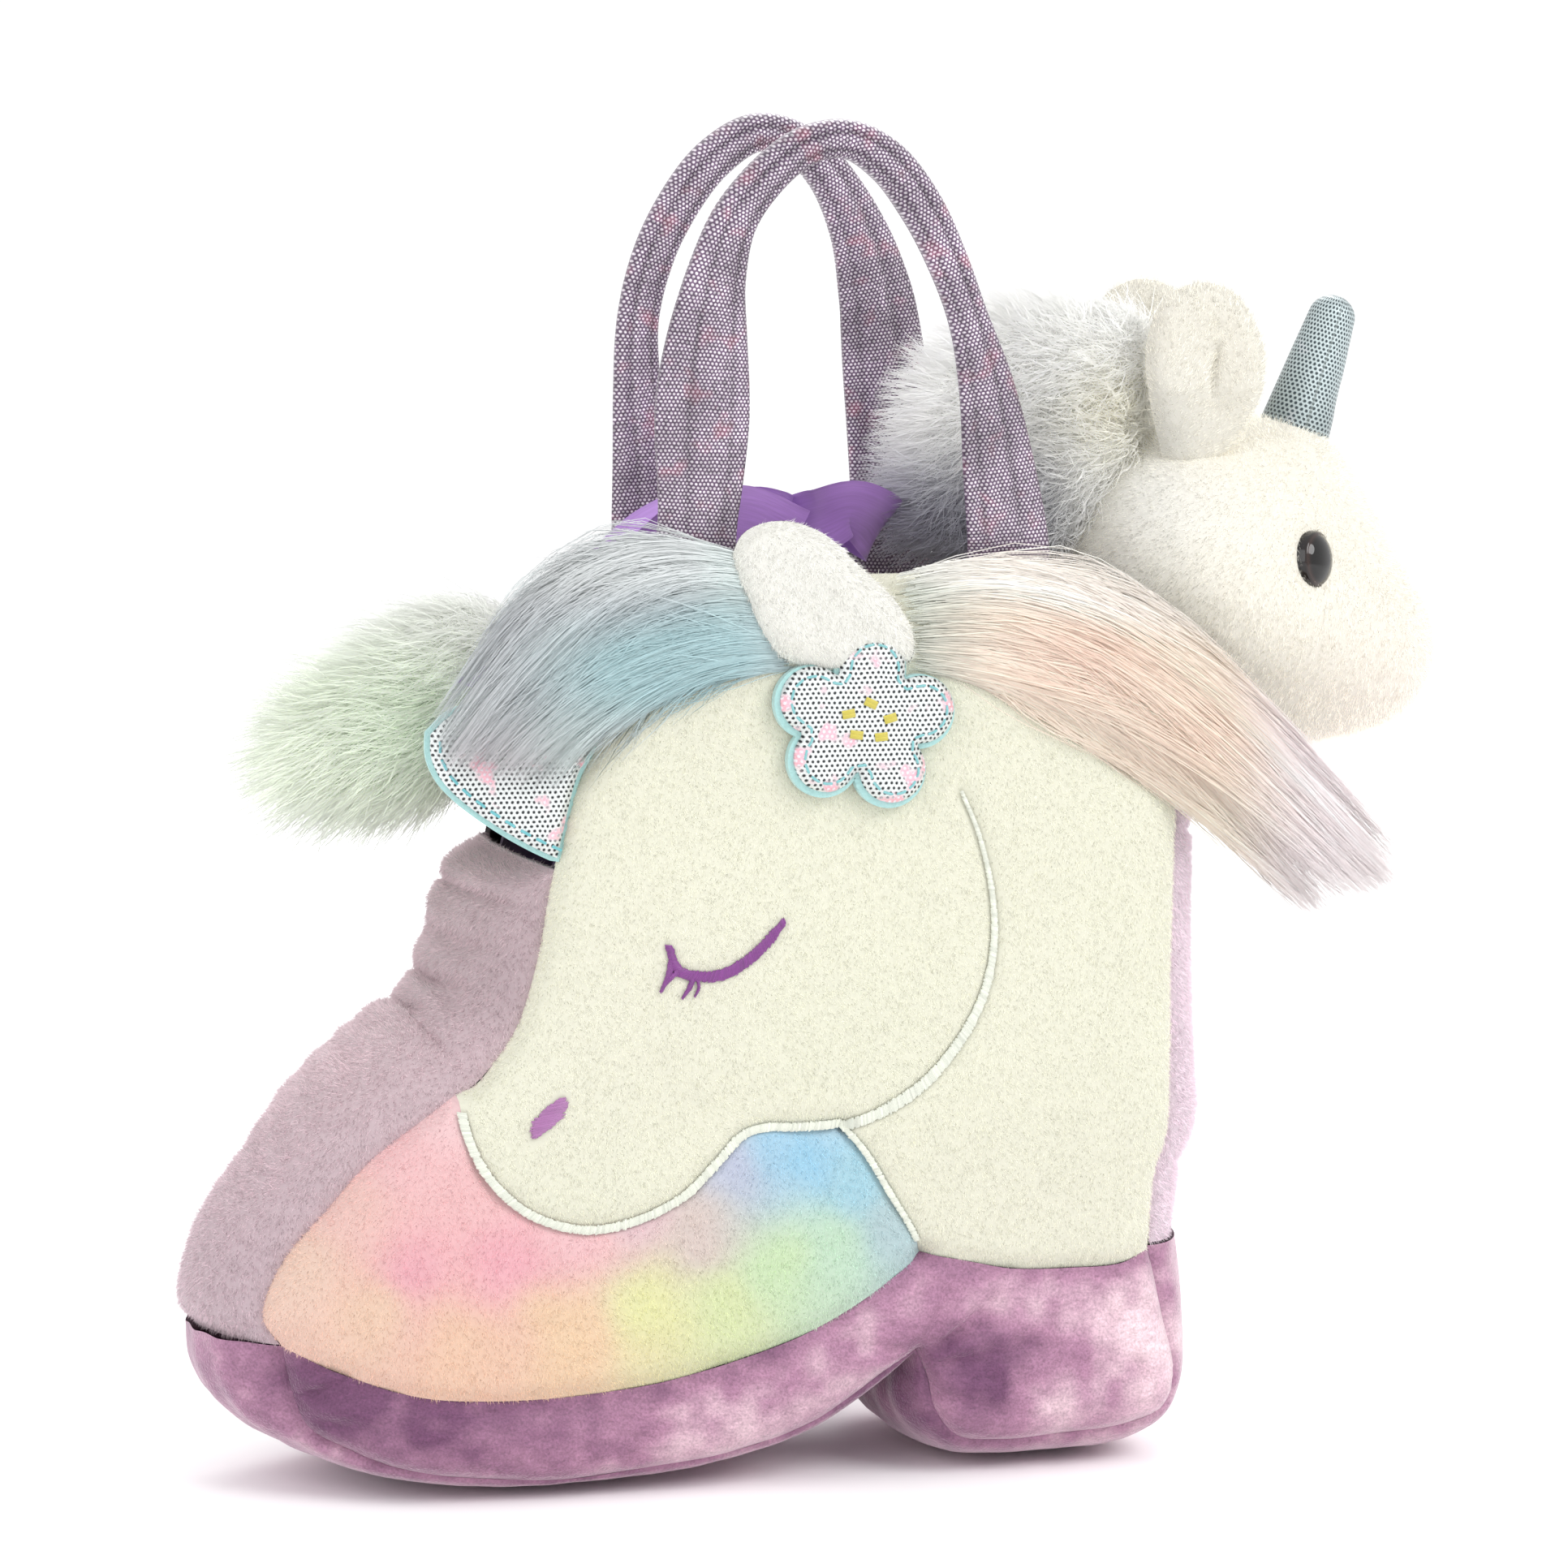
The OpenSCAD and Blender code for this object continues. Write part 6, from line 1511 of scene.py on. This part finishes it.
r5 = ribbon(np.stack([-1.6 + 0 * ang, 3.4 * np.sin(ang), 137.8 + 3.9 * np.cos(ang)], 1), [[1, 0, 0]] * 5, width=6.6, bow=0.8, seed=7, tone=0.95)
so = Soup().add(r5[0], r5[1], r5[2], None, r5[3])
so.make("bow_knot_ribbon", M_SATIN, body="unicorn", replaces=["bow_knot"], slot="satin_ribbon")
ang = np.linspace(0, 2 * math.pi, 61)
r6 = ribbon(np.stack([2 + 0 * ang, 18.35 * np.sin(ang), 114.6 + 18.35 * np.cos(ang)], 1), [[1, 0, 0]] * 5, width=10, bow=0.1, seed=8)
ribbon_piece("ribbon_band_satin", [r6], ["ribbon_band"])


# ---------------------------------------------------------------- what is left inside: fibre filling, beads' bag, washers
def fibre():
    m, nt, b = principled("fibre_fill", Roughness=0.95)
    b.inputs["Base Color"].default_value = (0.8, 0.8, 0.8, 1)
    b.inputs["Sheen Weight"].default_value = 0.4
    n = noise_tex(nt, 900, 4, 0.7)
    c = mixc(nt, n, (0.66, 0.66, 0.65), (0.86, 0.86, 0.85))
    nt.links.new(c, b.inputs["Base Color"])
    bump(nt, b, n, 0.8, 0.0008)
    return m


M_FIBRE = fibre()
for nm, groups, cad in (("toe_stuffing_fibre", [[[-76, 0, 27, 8.5], [-62, 0, 27, 13], [-60, 0, 46, 9], [-50, 0, 55, 9]], [[-62, 0, 24, 13], [-48, 0, 48, 12], [-28, 0, 18, 14], [-2, 0, 21, 9]]], "toe_stuffing"),
                        ("heel_stuffing_fibre", [[[25, 5, 12, 9], [25, -5, 12, 9], [42, 5, 12, 9], [42, -5, 12, 9], [33, 0, 20, 9]]], "heel_stuffing")):
    V, T = soft_body(groups, 2.0, 4)
    V = V + normals(V, T) * (0.7 * noise(V, 7, 12))[:, None]
    Soup().add(V, T, (0.8, 0.8, 0.8)).make(nm, M_FIBRE, body="bag", replaces=[cad], slot="fibre_fill", fill=0.5)


def plain(name, colour, rough=0.6, metal=0.0):
    m, nt, b = principled(name, Roughness=rough, Metallic=metal)
    b.inputs["Base Color"].default_value = (*colour, 1)
    n = noise_tex(nt, 700, 3, 0.6)
    bump(nt, b, n, 0.3, 0.0002)
    return m


M_BEAN, M_WASHER, M_ELASTIC = plain("bean_bag_cloth", lin(214, 208, 192)), plain("washer_plastic", lin(226, 226, 226), 0.4), plain("elastic", lin(236, 236, 232), 0.8)
for n_, m_, sl in (("bean_bag", M_BEAN, "bean_bag_cloth"), ("eye_washers", M_WASHER, "washer_plastic"), ("instep_elastic", M_ELASTIC, "elastic"), ("unicorn_body_stuffing", M_FIBRE, "fibre_fill"), ("unicorn_head_stuffing", M_FIBRE, "fibre_fill"),
                   ("unicorn_horn_stuffing", M_FIBRE, "fibre_fill"), ("front_handle_padding", M_FIBRE, "fibre_fill"), ("back_handle_padding", M_FIBRE, "fibre_fill")):
    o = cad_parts[n_]
    o.data.materials.clear()
    o.data.materials.append(m_)

# ---------------------------------------------------------------- floor, light and camera
scene = bpy.context.scene
scene.cycles.diffuse_bounces = 8
scene.view_settings.view_transform = "Standard"
scene.view_settings.look = "None"
world = bpy.data.worlds.new("studio")
scene.world = world
world.use_nodes = True
world.node_tree.nodes["Background"].inputs[0].default_value = (1.0, 1.0, 1.0, 1)
world.node_tree.nodes["Background"].inputs[1].default_value = 1.06

fm = bpy.data.materials.new("studio_floor")
fm.use_nodes = True
fb = fm.node_tree.nodes["Principled BSDF"]
fb.inputs["Base Color"].default_value = (1, 1, 1, 1)
fb.inputs["Roughness"].default_value = 1.0
fb.inputs["Specular IOR Level"].default_value = 0.0
bpy.ops.mesh.primitive_plane_add(size=8, location=(0, 0, -0.0004))
floor = bpy.context.object
floor.name = "studio_floor"
floor.data.materials.append(fm)


def area(name, at, aim, size, power, colour=(1, 1, 1)):
    d = bpy.data.lights.new(name, "AREA")
    d.shape = "DISK"
    d.size = size
    d.energy = power
    d.color = colour
    o = bpy.data.objects.new(name, d)
    scene.collection.objects.link(o)
    o.location = at
    o.rotation_mode = "QUATERNION"
    o.rotation_quaternion = (Vector(aim) - Vector(at)).to_track_quat("-Z", "Y")
    return o


area("key", (0.55, -0.75, 0.75), (0, 0, 0.1), 0.6, 5.0)
area("fill", (-0.7, -0.6, 0.45), (0, 0, 0.08), 0.8, 2.4)
area("rim", (0.3, 0.8, 0.8), (0, 0, 0.12), 0.6, 3.0)

cam = bpy.data.cameras.new("camera")
cam.sensor_width = 36
cam.lens = 135.84
co = bpy.data.objects.new("camera", cam)
scene.collection.objects.link(co)
az, el = math.radians(-15), math.radians(6)
aim = (np.array([0, 0, 100.0]) + SH - 2.35 * np.array([0.966, -0.259, 0])) / 1000
back = np.array([math.sin(az) * math.cos(el), -math.cos(az) * math.cos(el), math.sin(el)])
co.location = tuple(aim + 0.9 * back)
co.rotation_mode = "QUATERNION"
co.rotation_quaternion = Vector(-back).to_track_quat("-Z", "Y")
cam.clip_start, cam.clip_end = 0.05, 20
scene.camera = co
